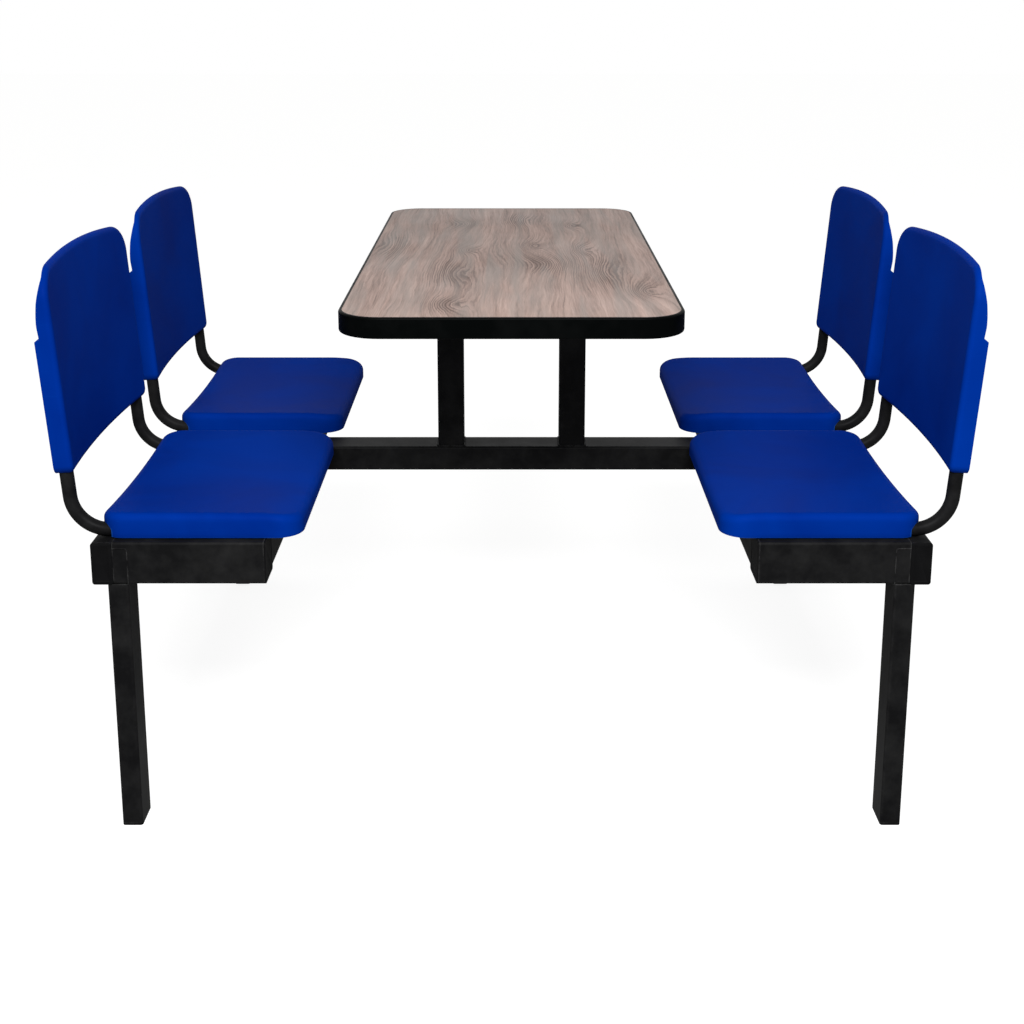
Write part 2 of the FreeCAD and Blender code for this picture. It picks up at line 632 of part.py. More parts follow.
def sideTube(name):
    """Round tube: level under the seat, one bend, then up along the back's lean."""
    body = newBody(name)
    tilt = math.radians(lean)
    level = sizes["frameTop"] + sizes["tubeRadius"]
    bend = sizes["bendRadius"]
    foot = sizes["backX"] + sizes["tubeInset"] * math.cos(tilt), sizes["backLow"] - sizes["tubeInset"] * math.sin(tilt)
    # the bend's centre is one radius from the level run and one radius from the upright
    centreZ = level + bend
    centreX = foot[0] + (centreZ - foot[1]) * math.tan(tilt) - bend / math.cos(tilt)
    leave = centreX + bend * math.cos(tilt), centreZ - bend * math.sin(tilt)
    end = foot[0] + sizes["tubeEnd"] * math.sin(tilt), foot[1] + sizes["tubeEnd"] * math.cos(tilt)
    path = newSketch(body, name + "_path", "XZ_Plane")
    run = line(path, (sizes["tubeFront"], level), (centreX, level))
    turn = arc(path, (centreX, centreZ), bend, -math.pi / 2, -tilt)
    rise = line(path, leave, end)
    path.addConstraint(Sketcher.Constraint("Horizontal", run))
    path.addConstraint(Sketcher.Constraint("Tangent", run, 2, turn, 1))
    path.addConstraint(Sketcher.Constraint("Tangent", turn, 2, rise, 1))
    hold(path, "Radius", (turn,), "bendRadius")
    hold(path, "DistanceX", (-1, 1, run, 1), "tubeFront")
    hold(path, "DistanceY", (-1, 1, run, 1), "frameTop + tubeRadius")
    for kind, text in (("DistanceX", "dims.backX + dims.tubeInset * cos(dims.backLean * 1deg)"
                                     " + dims.tubeEnd * sin(dims.backLean * 1deg)"),
                       ("DistanceY", "dims.backLow - dims.tubeInset * sin(dims.backLean * 1deg)"
                                     " + dims.tubeEnd * cos(dims.backLean * 1deg)")):
        value = end[0] if kind == "DistanceX" else end[1]
        number = path.addConstraint(Sketcher.Constraint(kind, -1, 1, rise, 2, value))
        path.renameConstraint(number, "end" + kind)
        path.setExpression("Constraints.end" + kind, text)
    number = path.addConstraint(Sketcher.Constraint("Angle", rise, math.radians(90 - lean)))
    path.renameConstraint(number, "leanAngle")
    path.setExpression("Constraints.leanAngle", "90deg - dims.backLean * 1deg")
    section = newSketch(body, name + "_section", "YZ_Plane", "tubeFront")
    circle(section, "0", "frameTop + tubeRadius", "tubeRadius")
    circle(section, "0", "frameTop + tubeRadius", "tubeRadius - tubeThick")
    pipe = body.newObject("PartDesign::AdditivePipe", name + "_bend")
    pipe.Profile = section
    pipe.Spine = (path, [])
    doc.recompute()
    # screw holes square to the upright
    holes = newSketch(body, name + "_holes", "YZ_Plane")
    holes.setExpression("AttachmentOffset.Base.z", None)
    holes.AttachmentOffset = FreeCAD.Placement(vector(0, sizes["backLow"], sizes["backX"]),
                                               FreeCAD.Rotation(vector(1, 0, 0), lean))
    bind(holes, "AttachmentOffset.Base.z", "backX")
    bind(holes, "AttachmentOffset.Base.y", "backLow")
    for z in ("backScrewLow", "backScrewHigh"):
        circle(holes, "0", z, "backScrewHole")
    pocket(body, holes, name + "_hole_cut")
    return body


def strap(name, where):
    body = newBody(name)
    outline = newSketch(body, name + "_outline", "XY_Plane", "frameTop + tubeRadius + tubeRadius")
    rectangle(outline, f"{where} - strapWide / 2", f"{where} + strapWide / 2", "- strapHalf", "strapHalf")
    for y in ("seatScrewSide", "- seatScrewSide"):
        circle(outline, where, y, "strapHole")
    pad(body, outline, name + "_plate", "strapThick")
    return body


def seatAt(thing, side, row, shift="0"):
    """Turns a seat piece to its side of the table and moves it to its row."""
    across = "" if row == "rear" else "- "
    spin = FreeCAD.Rotation(vector(0, 0, 1), 0 if side == "right" else 180)
    y = f"{across}seatOffset".strip()
    if shift != "0":
        y += f" + {shift}" if not shift.startswith("-") else f" - {shift[2:]}"
    thing.Placement = FreeCAD.Placement(vector(0, amount(y), 0), spin)
    bind(thing, "Placement.Base.y", y)
    return thing


def pinAlong(name, radius, low, length, spin, base):
    """Round pin that starts at low along its own axis."""
    pin = doc.addObject("Part::Cylinder", name)
    bind(pin, "Radius", radius)
    bind(pin, "Height", length)
    pin.Placement = FreeCAD.Placement(base + spin.multVec(vector(0, 0, low)), spin)
    return pin


seatScrewPieces = []
backScrewPieces = []
tubePlugPieces = []
for side in ("left", "right"):
    for row in ("front", "rear"):
        tag = f"{row}_{side}"
        face = 1 if side == "right" else -1
        rowY = sizes["seatOffset"] * (-1 if row == "front" else 1)
        keep(seatAt(seatPan(f"seat_pan_{tag}"), side, row))
        back = keep(backShell(f"seat_back_{tag}"))
        turn = FreeCAD.Rotation(vector(0, 0, 1), 0 if face == 1 else 180)
        tilt = turn.multiply(FreeCAD.Rotation(vector(0, 1, 0), lean))
        back.Placement = FreeCAD.Placement(vector(face * sizes["backX"], rowY, sizes["backLow"]), tilt)
        bind(back, "Placement.Base.x", "backX" if face == 1 else "- backX")
        bind(back, "Placement.Base.y", "seatOffset" if row == "rear" else "- seatOffset")
        bind(back, "Placement.Base.z", "backLow")
        keep(seatAt(sideTube(f"side_tube_near_{tag}"), side, row, "- tubeSide"))
        keep(seatAt(sideTube(f"side_tube_far_{tag}"), side, row, "tubeSide"))
        keep(seatAt(strap(f"strap_front_{tag}", "strapFront"), side, row))
        keep(seatAt(strap(f"strap_rear_{tag}", "strapRear"), side, row))
        for x in ("strapFront", "strapRear"):
            for y in (-1, 1):
                spot = vector(face * sizes[x], rowY + y * sizes["seatScrewSide"], 0)
                up = FreeCAD.Rotation()
                seatScrewPieces.append(pinAlong("seat_screw_head", "seatScrewHead", strapLow - sizes["seatScrewHeadHigh"],
                                                "seatScrewHeadHigh", up, spot))
                seatScrewPieces.append(pinAlong("seat_screw_shank", "seatScrewRadius", strapLow, "seatScrewLong", up, spot))
        inward = tilt.multiply(FreeCAD.Rotation(vector(0, 1, 0), 90))
        for y in (-1, 1):
            for z in ("backScrewLow", "backScrewHigh"):
                spot = back.Placement.multVec(vector(0, y * sizes["tubeSide"], sizes[z]))
                rear = sizes["tubeInset"] + sizes["tubeRadius"]
                backScrewPieces.append(pinAlong("back_screw_head", "backScrewHead", rear, "backScrewHeadHigh", inward, spot))
                backScrewPieces.append(pinAlong("back_screw_shank", "backScrewRadius", sizes["backScrewTip"],
                                                "tubeInset + tubeRadius - backScrewTip", inward, spot))
            mouth = vector(face * sizes["tubeFront"], rowY + y * sizes["tubeSide"], sizes["frameTop"] + sizes["tubeRadius"])
            out = FreeCAD.Rotation(vector(0, 1, 0), -90 * face)
            tubePlugPieces.append(pinAlong("plug_head", "tubeRadius", 0, "capThick", out, mouth))
            tubePlugPieces.append(pinAlong("plug_stem", "tubeRadius - tubeThick - plugGap", -sizes["plugDeep"],
                                           "plugDeep", out, mouth))
keep(together("seat_screws", seatScrewPieces))
keep(together("back_screws", backScrewPieces))
keep(together("tube_plugs", tubePlugPieces))

doc.recompute()
for item in doc.Objects:
    if "Invalid" in item.State or "Error" in item.State:
        raise RuntimeError(f"{item.Label} did not compute: {item.State}")
for node in nodes:
    if node.Shape.isNull() or not node.Shape.isValid() or not node.Shape.Solids:
        raise RuntimeError(f"{node.Label} has no good shape")

os.makedirs("parts", exist_ok=True)
for node in nodes:
    node.Shape.exportStep(f"parts/{node.Label}.step")
print(f"{len(nodes)} pieces written")
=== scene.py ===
import math
import bmesh
import bpy
from mathutils import Matrix, Vector


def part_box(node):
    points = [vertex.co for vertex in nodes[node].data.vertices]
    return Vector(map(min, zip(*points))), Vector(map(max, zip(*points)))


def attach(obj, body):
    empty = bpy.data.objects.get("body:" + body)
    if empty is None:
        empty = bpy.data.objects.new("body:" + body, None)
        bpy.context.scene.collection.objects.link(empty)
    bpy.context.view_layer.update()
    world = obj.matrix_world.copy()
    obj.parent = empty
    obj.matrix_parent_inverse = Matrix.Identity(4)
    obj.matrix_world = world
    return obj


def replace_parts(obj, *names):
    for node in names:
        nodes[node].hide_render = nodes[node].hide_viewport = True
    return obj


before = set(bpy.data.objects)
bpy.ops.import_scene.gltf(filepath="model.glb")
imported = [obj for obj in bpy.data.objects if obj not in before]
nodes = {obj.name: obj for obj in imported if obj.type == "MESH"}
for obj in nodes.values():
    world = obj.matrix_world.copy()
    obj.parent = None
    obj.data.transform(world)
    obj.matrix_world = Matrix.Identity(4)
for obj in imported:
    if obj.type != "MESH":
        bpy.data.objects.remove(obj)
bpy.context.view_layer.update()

mm = 0.001
tiny = 1e-6
print("frame loaded:", len(nodes), "nodes")


def linear(hexColour):
    # sRGB hex to the linear numbers that the shader sockets take
    parts = [int(hexColour[i:i + 2], 16) / 255 for i in (1, 3, 5)]
    return [c / 12.92 if c <= 0.04045 else ((c + 0.055) / 1.055) ** 2.4 for c in parts] + [1.0]


def perMetre(*sizes):
    # the texture scale that makes features this wide, in mm: one number, or one for each axis
    scales = [1000 / size for size in sizes]
    return scales if len(scales) > 1 else scales[0]


def addNode(tree, kind, values=None, links=None, stops=None, **settings):
    # one node: its sockets' numbers, what feeds its sockets, a ramp's stops, and its settings
    made = tree.nodes.new(kind)
    for name, value in settings.items():
        setattr(made, name, value)
    for socket, value in (values or {}).items():
        made.inputs[socket].default_value = value
    for socket, source in (links or {}).items():
        tree.links.new(source, made.inputs[socket])
    if stops:
        for _ in stops[2:]:
            made.color_ramp.elements.new(0.5)
        for element, (place, colour) in zip(made.color_ramp.elements, stops):
            element.position = place
            element.color = linear(colour) if isinstance(colour, str) else (colour, colour, colour, 1)
    return made


def newMaterial(name):
    material = bpy.data.materials.new(name)
    material.use_nodes = True
    tree = material.node_tree
    tree.nodes.clear()
    return material, tree, addNode(tree, "ShaderNodeTexCoord").outputs["Object"]


def layered(tree, ground, layers):
    # colours laid over a ground one by one, each as strongly as its mask; a colour mix has its two colours at
    # sockets 6 and 7 and its result at output 2
    mixed = None
    for mask, colour in layers:
        values, links = {7: linear(colour)}, {0: mask}
        if mixed is None:
            values[6] = linear(ground)
        else:
            links[6] = mixed
        mixed = addNode(tree, "ShaderNodeMix", values, links, data_type="RGBA").outputs[2]
    return mixed


def stretchedNoise(tree, where, widths, noise, moved=None):
    # noise with its own width along each axis, turned or moved where that is given
    stretched = addNode(tree, "ShaderNodeMapping", {"Scale": perMetre(*widths), **(moved or {})},
                        {"Vector": where})
    drawn = addNode(tree, "ShaderNodeTexNoise", {"Scale": 1.0, **noise},
                    {"Vector": stretched.outputs["Vector"]})
    return drawn.outputs["Fac"]


def cornerMask(tree, radius, first, full, most):
    # a corner is where the rounded normal turns away from the flat one: none at first, most at full
    rounded = addNode(tree, "ShaderNodeBevel", {"Radius": radius * mm}, samples=4)
    flat = addNode(tree, "ShaderNodeNewGeometry")
    turned = addNode(tree, "ShaderNodeVectorMath", None,
                     {0: rounded.outputs["Normal"], 1: flat.outputs["Normal"]}, operation="DOT_PRODUCT")
    mask = addNode(tree, "ShaderNodeMapRange", {"From Min": first, "From Max": full, "To Max": most},
                   {"Value": turned.outputs["Value"]})
    return mask.outputs["Result"]


def finishMaterial(tree, look, colour, height, worn=None):
    # a bump from the height, roughness that follows the worn places, the surface shader and the output
    bump = addNode(tree, "ShaderNodeBump", {"Strength": look["bump"], "Distance": look["bumpDeep"] * mm},
                   {"Height": height})
    links = {"Base Color": colour, "Normal": bump.outputs["Normal"]}
    if worn:
        (first, last), (smooth, rough) = look["worn"], look["roughness"]
        roughness = addNode(tree, "ShaderNodeMapRange",
                            {"From Min": first, "From Max": last, "To Min": smooth, "To Max": rough},
                            {"Value": worn})
        links["Roughness"] = roughness.outputs["Result"]
    surface = addNode(tree, "ShaderNodeBsdfPrincipled", look["surface"], links)
    addNode(tree, "ShaderNodeOutputMaterial", None, {"Surface": surface.outputs["BSDF"]})


# materials: widths and depths in mm, the plain shader values, the span of the roughness and, called worn, the
# span of the slow texture that the roughness follows; a paler corner, worn on the steel and a painted
# highlight on the plastic, has its rounding's radius, the cosines at which it starts and is full, and its
# strength

coatedSteel = {
    "colour": "#101011", "dust": "#282828", "rubbed": "#404040",
    "surface": {"Specular IOR Level": 0.03}, "roughness": (0.37, 0.50), "worn": (0.3, 0.7),
    "bump": 0.35, "bumpDeep": 0.12,
    "peelWide": 2.4,      # orange peel is 1 to 3 mm from hump to hump
    "cloudWide": 62.5, "scrapeWide": 18.2,
    # dust caught in the coat is 0.3 mm wide and is drawn 1 mm wide so that it shows; grainWide is half that
    # width as a share of the distance from grain to grain
    "grainsApart": 7.7, "grainWide": 0.06,
    "corner": (3.0, 0.995, 0.9, 1.0),
}


def powderCoatedSteel():
    # mild steel tube, powder coated satin black: a faint orange peel, soft highlights, corners rubbed paler
    look = coatedSteel
    material, tree, where = newMaterial("powderCoatedSteelBlack")
    peel = addNode(tree, "ShaderNodeTexNoise",
                   {"Scale": perMetre(look["peelWide"]), "Detail": 2.0, "Roughness": 0.4}, {"Vector": where})
    cloud = addNode(tree, "ShaderNodeTexNoise",
                    {"Scale": perMetre(look["cloudWide"]), "Detail": 5.0, "Roughness": 0.65},
                    {"Vector": where})
    dusty = addNode(tree, "ShaderNodeMapRange", {"From Min": 0.40, "From Max": 0.72, "To Max": 0.6},
                    {"Value": cloud.outputs["Fac"]})
    grains = addNode(tree, "ShaderNodeTexVoronoi", {"Scale": perMetre(look["grainsApart"])},
                     {"Vector": where})
    grain = addNode(tree, "ShaderNodeValToRGB", None, {"Fac": grains.outputs["Distance"]},
                    stops=[(0.0, 1.0), (look["grainWide"], 0.0)])
    scrape = addNode(tree, "ShaderNodeTexNoise",
                     {"Scale": perMetre(look["scrapeWide"]), "Detail": 5.0, "Roughness": 0.7},
                     {"Vector": where})
    scraped = addNode(tree, "ShaderNodeMapRange", {"From Min": 0.42, "From Max": 0.62},
                      {"Value": scrape.outputs["Fac"]})
    rub = addNode(tree, "ShaderNodeMath", None,
                  {0: cornerMask(tree, *look["corner"]), 1: scraped.outputs["Result"]}, operation="MULTIPLY")
    colour = layered(tree, look["colour"], [(dusty.outputs["Result"], look["dust"]),
                                            (grain.outputs["Color"], look["dust"]),
                                            (rub.outputs["Value"], look["rubbed"])])
    finishMaterial(tree, look, colour, peel.outputs["Fac"], cloud.outputs["Fac"])
    return material


mouldedBlue = {
    "colour": "#002c88", "deep": "#002276", "pale": "#063f99", "edge": "#1c58aa",
    "surface": {"Specular IOR Level": 0.005}, "roughness": (0.46, 0.58), "worn": (0.3, 0.75),
    "bump": 0.3, "bumpDeep": 0.16,
    "flowWide": 200.0, "fineWide": 1.11,
    "grainWide": 1.5,      # the tool's grain is 0.3 mm and is drawn 1.5 mm wide so that it shows
    # rubbing marks run from the table side to the back, 2 mm apart and 80 mm long, a little askew
    "rubbing": (83.3, 2.38, 2.38), "rubbingTurn": 0.12,
    # edge and corner: the rims painted paler, a painted highlight where the rounded rims catch the light
    "corner": (2.2, 0.97, 0.80, 0.6),
}


def mouldedPolypropylene():
    # polypropylene copolymer, injection moulded against a spark-eroded tool: a fine even grain that breaks up
    # the highlights, colour a little deeper where the flow was slower, and faint rubbing marks on top; its
    # rims are painted paler in the edge colour, a painted highlight
    look = mouldedBlue
    material, tree, where = newMaterial("mouldedPolypropyleneBlue")
    flow = addNode(tree, "ShaderNodeTexNoise",
                   {"Scale": perMetre(look["flowWide"]), "Detail": 3.0, "Roughness": 0.55, "Distortion": 0.6},
                   {"Vector": where})
    depth = addNode(tree, "ShaderNodeMapRange", {"From Min": 0.3, "From Max": 0.7},
                    {"Value": flow.outputs["Fac"]})
    spark = addNode(tree, "ShaderNodeTexVoronoi", {"Scale": perMetre(look["grainWide"])}, {"Vector": where},
                    feature="SMOOTH_F1")
    fine = addNode(tree, "ShaderNodeTexNoise",
                   {"Scale": perMetre(look["fineWide"]), "Detail": 2.0, "Roughness": 0.6}, {"Vector": where})
    height = addNode(tree, "ShaderNodeMath", None, {0: spark.outputs["Distance"], 1: fine.outputs["Fac"]},
                     operation="ADD")
    rubbing = stretchedNoise(tree, where, look["rubbing"], {"Detail": 4.0, "Roughness": 0.65},
                             {"Rotation": (0.0, 0.0, look["rubbingTurn"])})
    rubbed = addNode(tree, "ShaderNodeMapRange", {"From Min": 0.60, "From Max": 0.74, "To Max": 0.16},
                     {"Value": rubbing})
    # the last layer paints the rims in the pale edge colour: a painted highlight
    colour = layered(tree, look["deep"], [(depth.outputs["Result"], look["colour"]),
                                          (rubbed.outputs["Result"], look["pale"]),
                                          (cornerMask(tree, *look["corner"]), look["edge"])])
    finishMaterial(tree, look, colour, height.outputs["Value"], flow.outputs["Fac"])
    return material


woodgrain = {
    "pink": "#a99187", "middle": "#8d776e", "dark": "#66534b", "line": "#4d3a33", "grey": "#7b746f",
    "surface": {"Specular IOR Level": 0.1}, "roughness": (0.40, 0.51), "worn": (0.3, 0.7),
    "bump": 0.12, "bumpDeep": 0.1,
    "ringWide": 5.0,      # between growth rings where they crowd round a figure
    # each texture's width across, along and through the top; the bends also say how many rings they shift
    "wander": (111.0, 455.0, 1000.0), "wanderRings": 11.0,
    "shakes": (12.5, 62.5, 1000.0), "shakeRings": 1.8,
    "fibres": (1.25, 40.0, 1000.0), "fibreWeight": 0.5,      # 0.3 mm wide in truth, drawn coarser to show
    "cast": (27.8, 385.0, 1000.0), "castPlace": (3.0, 1.0, 0.0), "castTurn": 0.06, "wipeWide": 167.0,
    # streaks that follow the grain, 16 mm by 400 mm and 3.5 mm by 170 mm: repeats in a ring, repeats in a
    # metre along, and weight
    "streaks": ((0.31, 2.5, 0.9), (1.45, 6.0, 0.85)),
    # figures in the grain: place along X and Y, half width along X and Y, and how many rings each holds
    "figures": ((-74, 20, 20, 42, 7.0), (-88, -190, 34, 95, 6.0), (34, 60, 22, 52, 7.5),
                (58, -110, 46, 80, -6.5), (122, 20, 20, 60, 6.0), (150, -170, 30, 120, 7.0),
                (196, -330, 22, 50, 6.5), (112, 280, 20, 44, 5.5), (-86, 300, 30, 50, -5.0),
                (-92, -420, 26, 50, 5.5), (-206, 60, 26, 130, -4.0), (18, 350, 30, 70, 4.0)),
}


def printedLaminate():
    # high-pressure laminate, paper printed with elm under melamine, pressed satin: soft streaks along the top
    # that bend round small arched figures, pink brown crossed by a grey cast, under a smooth clear surface
    look = woodgrain
    material, tree, where = newMaterial("printedElmLaminate")
    split = addNode(tree, "ShaderNodeSeparateXYZ", None, {"Vector": where})
    wander = stretchedNoise(tree, where, look["wander"], {"Detail": 2.0, "Roughness": 0.5})
    shakes = stretchedNoise(tree, where, look["shakes"], {"Detail": 4.0, "Roughness": 0.6})
    fibres = stretchedNoise(tree, where, look["fibres"], {"Detail": 3.0, "Roughness": 0.6})
    # the field counts growth rings across the top
    field = addNode(tree, "ShaderNodeMath", {1: perMetre(look["ringWide"])}, {0: split.outputs["X"]},
                    operation="MULTIPLY").outputs["Value"]
    field = addNode(tree, "ShaderNodeMath", {1: look["wanderRings"]}, {0: wander, 2: field},
                    operation="MULTIPLY_ADD").outputs["Value"]
    figured = None
    for x, y, wide, long, rings in look["figures"]:
        # fall is 1 in the middle of a figure and grows with the square of the distance in half widths
        moved = addNode(tree, "ShaderNodeMapping",
                        {"Location": (-x / wide, -y / long, 0), "Scale": (1000 / wide, 1000 / long, 0)},
                        {"Vector": where}).outputs["Vector"]
        squared = addNode(tree, "ShaderNodeVectorMath", None, {0: moved, 1: moved}, operation="DOT_PRODUCT")
        fall = addNode(tree, "ShaderNodeMath", {1: 1.0}, {0: squared.outputs["Value"]}, operation="ADD")
        hump = addNode(tree, "ShaderNodeMath", {0: rings}, {1: fall.outputs["Value"]}, operation="DIVIDE")
        field = addNode(tree, "ShaderNodeMath", None, {0: field, 1: hump.outputs["Value"]},
                        operation="ADD").outputs["Value"]
        steep = addNode(tree, "ShaderNodeMath", {1: -2.0}, {0: fall.outputs["Value"]},
                        operation="POWER").outputs["Value"]
        figured = steep if figured is None else addNode(tree, "ShaderNodeMath", None, {0: steep, 1: figured},
                                                        operation="ADD").outputs["Value"]
    field = addNode(tree, "ShaderNodeMath", {1: look["shakeRings"]}, {0: shakes, 2: field},
                    operation="MULTIPLY_ADD").outputs["Value"]
    # one growth ring: pale early wood that darkens slowly and ends in a sharp line of late wood
    ring = addNode(tree, "ShaderNodeMath", None, {0: field}, operation="FRACT")
    late = addNode(tree, "ShaderNodeValToRGB", None, {"Fac": ring.outputs["Value"]},
                   stops=[(0.0, 0.5), (0.14, 0.0), (0.60, 0.35), (0.88, 1.0), (1.0, 0.5)])
    # rings show only round the figures
    shown = addNode(tree, "ShaderNodeMapRange",
                    {"From Min": 0.05, "From Max": 0.55, "To Min": 0.02, "To Max": 0.62}, {"Value": figured})
    tone = addNode(tree, "ShaderNodeMath", None, {0: late.outputs["Color"], 1: shown.outputs["Result"]},
                   operation="MULTIPLY").outputs["Value"]
    layers = []
    for across, along, weight in look["streaks"]:
        bent = addNode(tree, "ShaderNodeMath", {1: across}, {0: field}, operation="MULTIPLY")
        run = addNode(tree, "ShaderNodeMath", {1: along}, {0: split.outputs["Y"]}, operation="MULTIPLY")
        spot = addNode(tree, "ShaderNodeCombineXYZ", {"Z": along},
                       {"X": bent.outputs["Value"], "Y": run.outputs["Value"]})
        streak = addNode(tree, "ShaderNodeTexNoise", {"Scale": 1.0, "Detail": 3.0, "Roughness": 0.6},
                         {"Vector": spot.outputs["Vector"]})
        layers.append((streak.outputs["Fac"], weight))
    for layer, weight in layers + [(fibres, look["fibreWeight"])]:
        tone = addNode(tree, "ShaderNodeMath", {1: weight}, {0: layer, 2: tone},
                       operation="MULTIPLY_ADD").outputs["Value"]
    tone = addNode(tree, "ShaderNodeMapRange", {"From Min": 0.80, "From Max": 1.68}, {"Value": tone})
    brown = addNode(tree, "ShaderNodeValToRGB", None, {"Fac": tone.outputs["Result"]},
                    stops=[(0.05, look["pink"]), (0.40, look["middle"]),
                           (0.72, look["dark"]), (1.0, look["line"])])
    cast = stretchedNoise(tree, where, look["cast"], {"Detail": 3.0, "Roughness": 0.55, "Distortion": 0.5},
                          {"Location": look["castPlace"], "Rotation": (0.0, 0.0, look["castTurn"])})
    greyed = addNode(tree, "ShaderNodeMapRange", {"From Min": 0.42, "From Max": 0.68, "To Max": 0.6},
                     {"Value": cast})
    colour = addNode(tree, "ShaderNodeMix", {7: linear(look["grey"])},
                     {0: greyed.outputs["Result"], 6: brown.outputs["Color"]}, data_type="RGBA")
    wipe = addNode(tree, "ShaderNodeTexNoise", {"Scale": perMetre(look["wipeWide"]), "Detail": 3.0},
                   {"Vector": where})
    finishMaterial(tree, look, colour.outputs[2], fibres, wipe.outputs["Fac"])
    return material


softBlack = {
    "extrudedPvcBlack": {
        "colour": "#030404", "pale": "#0c0d0d", "lines": (71.4, 71.4, 1.43),
        "surface": {"Specular IOR Level": 0.015}, "roughness": (0.29, 0.45),
    },
    "mouldedNylonBlack": {
        "colour": "#0d0d0e", "pale": "#1b1b1b", "lines": (3.33, 3.33, 3.33),
        "surface": {"Specular IOR Level": 0.03}, "roughness": (0.44, 0.60),
    },
    "both": {"worn": (0.3, 0.7), "bump": 0.2, "bumpDeep": 0.1, "smearWide": 71.4},
}


def blackPlastic(name):
    # PVC drawn through a die, smooth with faint lines along the band; nylon caps moulded with a fine grain
    look = {**softBlack[name], **softBlack["both"]}
    material, tree, where = newMaterial(name)
    lines = stretchedNoise(tree, where, look["lines"], {"Detail": 3.0, "Roughness": 0.55})
    smear = addNode(tree, "ShaderNodeTexNoise",
                    {"Scale": perMetre(look["smearWide"]), "Detail": 4.0, "Roughness": 0.6},
                    {"Vector": where})
    pale = addNode(tree, "ShaderNodeMapRange", {"From Min": 0.45, "From Max": 0.8, "To Max": 0.6},
                   {"Value": smear.outputs["Fac"]})
    colour = layered(tree, look["colour"], [(pale.outputs["Result"], look["pale"])])
    finishMaterial(tree, look, colour, lines, smear.outputs["Fac"])
    return material


chipboard = {
    "pale": "#c9ab7c", "middle": "#a5814f", "dark": "#6f4f2b", "chipWide": 4.55, "flourWide": 2.0,
    "surface": {"Roughness": 0.85, "Specular IOR Level": 0.2}, "bump": 0.6, "bumpDeep": 0.4,
}


def rawParticleBoard():
    # wood chips pressed with resin, sawn: angular flakes 3 to 6 mm long in tan and brown, open and rough
    look = chipboard
    material, tree, where = newMaterial("rawParticleBoard")
    chips = addNode(tree, "ShaderNodeTexVoronoi", {"Scale": perMetre(look["chipWide"])}, {"Vector": where})
    shade = addNode(tree, "ShaderNodeSeparateColor", None, {"Color": chips.outputs["Color"]})
    flour = addNode(tree, "ShaderNodeTexNoise", {"Scale": perMetre(look["flourWide"]), "Detail": 4.0},
                    {"Vector": where})
    tone = addNode(tree, "ShaderNodeMath", {1: 0.4}, {0: flour.outputs["Fac"], 2: shade.outputs["Red"]},
                   operation="MULTIPLY_ADD")
    colour = addNode(tree, "ShaderNodeValToRGB", None, {"Fac": tone.outputs["Value"]},
                     stops=[(0.1, look["dark"]), (0.6, look["middle"]), (1.0, look["pale"])])
    finishMaterial(tree, look, colour.outputs["Color"], tone.outputs["Value"])
    return material


backing = {
    "colour": "#8d8a86", "deep": "#77736e", "scratches": (1.67, 71.4, 1000.0), "cloudWide": 83.3,
    "surface": {"Roughness": 0.7, "Specular IOR Level": 0.3}, "bump": 0.3, "bumpDeep": 0.1,
}


def sandedBackingSheet():
    # phenolic backing sheet, sanded on its face: dull grey-brown with fine scratches along the board
    look = backing
    material, tree, where = newMaterial("sandedBackingSheet")
    scratches = stretchedNoise(tree, where, look["scratches"], {"Detail": 3.0})
    cloud = addNode(tree, "ShaderNodeTexNoise", {"Scale": perMetre(look["cloudWide"]), "Detail": 4.0},
                    {"Vector": where})
    tone = addNode(tree, "ShaderNodeMath", {1: 0.6}, {0: scratches, 2: cloud.outputs["Fac"]},
                   operation="MULTIPLY_ADD")
    colour = addNode(tree, "ShaderNodeValToRGB", None, {"Fac": tone.outputs["Value"]},
                     stops=[(0.5, look["deep"]), (1.0, look["colour"])])
    finishMaterial(tree, look, colour.outputs["Color"], scratches)
    return material


zinc = {
    "colour": "#a9abad", "deep": "#7f8285", "cloudWide": 2.5,
    "surface": {"Metallic": 1.0}, "roughness": (0.26, 0.46), "worn": (0.0, 1.0),
    "bump": 0.2, "bumpDeep": 0.05,
}


def zincPlatedSteel():
    # steel screws, bright zinc plated: pale metal, slightly clouded, with soft uneven highlights
    look = zinc
    material, tree, where = newMaterial("zincPlatedSteel")
    cloud = addNode(tree, "ShaderNodeTexNoise", {"Scale": perMetre(look["cloudWide"]), "Detail": 4.0},
                    {"Vector": where})
    colour = addNode(tree, "ShaderNodeValToRGB", None, {"Fac": cloud.outputs["Fac"]},
                     stops=[(0.35, look["deep"]), (0.65, look["colour"])])
    finishMaterial(tree, look, colour.outputs["Color"], cloud.outputs["Fac"], cloud.outputs["Fac"])
    return material


steelBlack = powderCoatedSteel()
plasticBlue = mouldedPolypropylene()
laminate = printedLaminate()
edgeBlack = blackPlastic("extrudedPvcBlack")
capBlack = blackPlastic("mouldedNylonBlack")
board = rawParticleBoard()
backer = sandedBackingSheet()
screwZinc = zincPlatedSteel()
print("materials made:", len(bpy.data.materials))

# the nodes' materials, by the starts of their names; the first line that fits counts
finishes = [
    (("table_laminate",), laminate),
    (("table_edge",), edgeBlack),
    (("table_core",), board),
    (("table_backer",), backer),
    (("top_screws", "seat_screws", "back_screws"), screwZinc),
    (("top_bar_caps", "arm_end_caps", "rail_end_caps", "tube_plugs", "foot_"), capBlack),
    (("seat_pan_", "seat_back_"), plasticBlue),
    (("top_bar_", "post_", "center_beam", "rail_", "arm_", "leg_", "side_tube_", "strap_"), steelBlack),
]
for name, cadNode in nodes.items():
    material = next(look for starts, look in finishes if name.startswith(starts))
    cadNode.data.materials.clear()
    cadNode.data.materials.append(material)


def addObject(name, data):
    made = bpy.data.objects.new(name, data)
    bpy.context.scene.collection.objects.link(made)
    return made


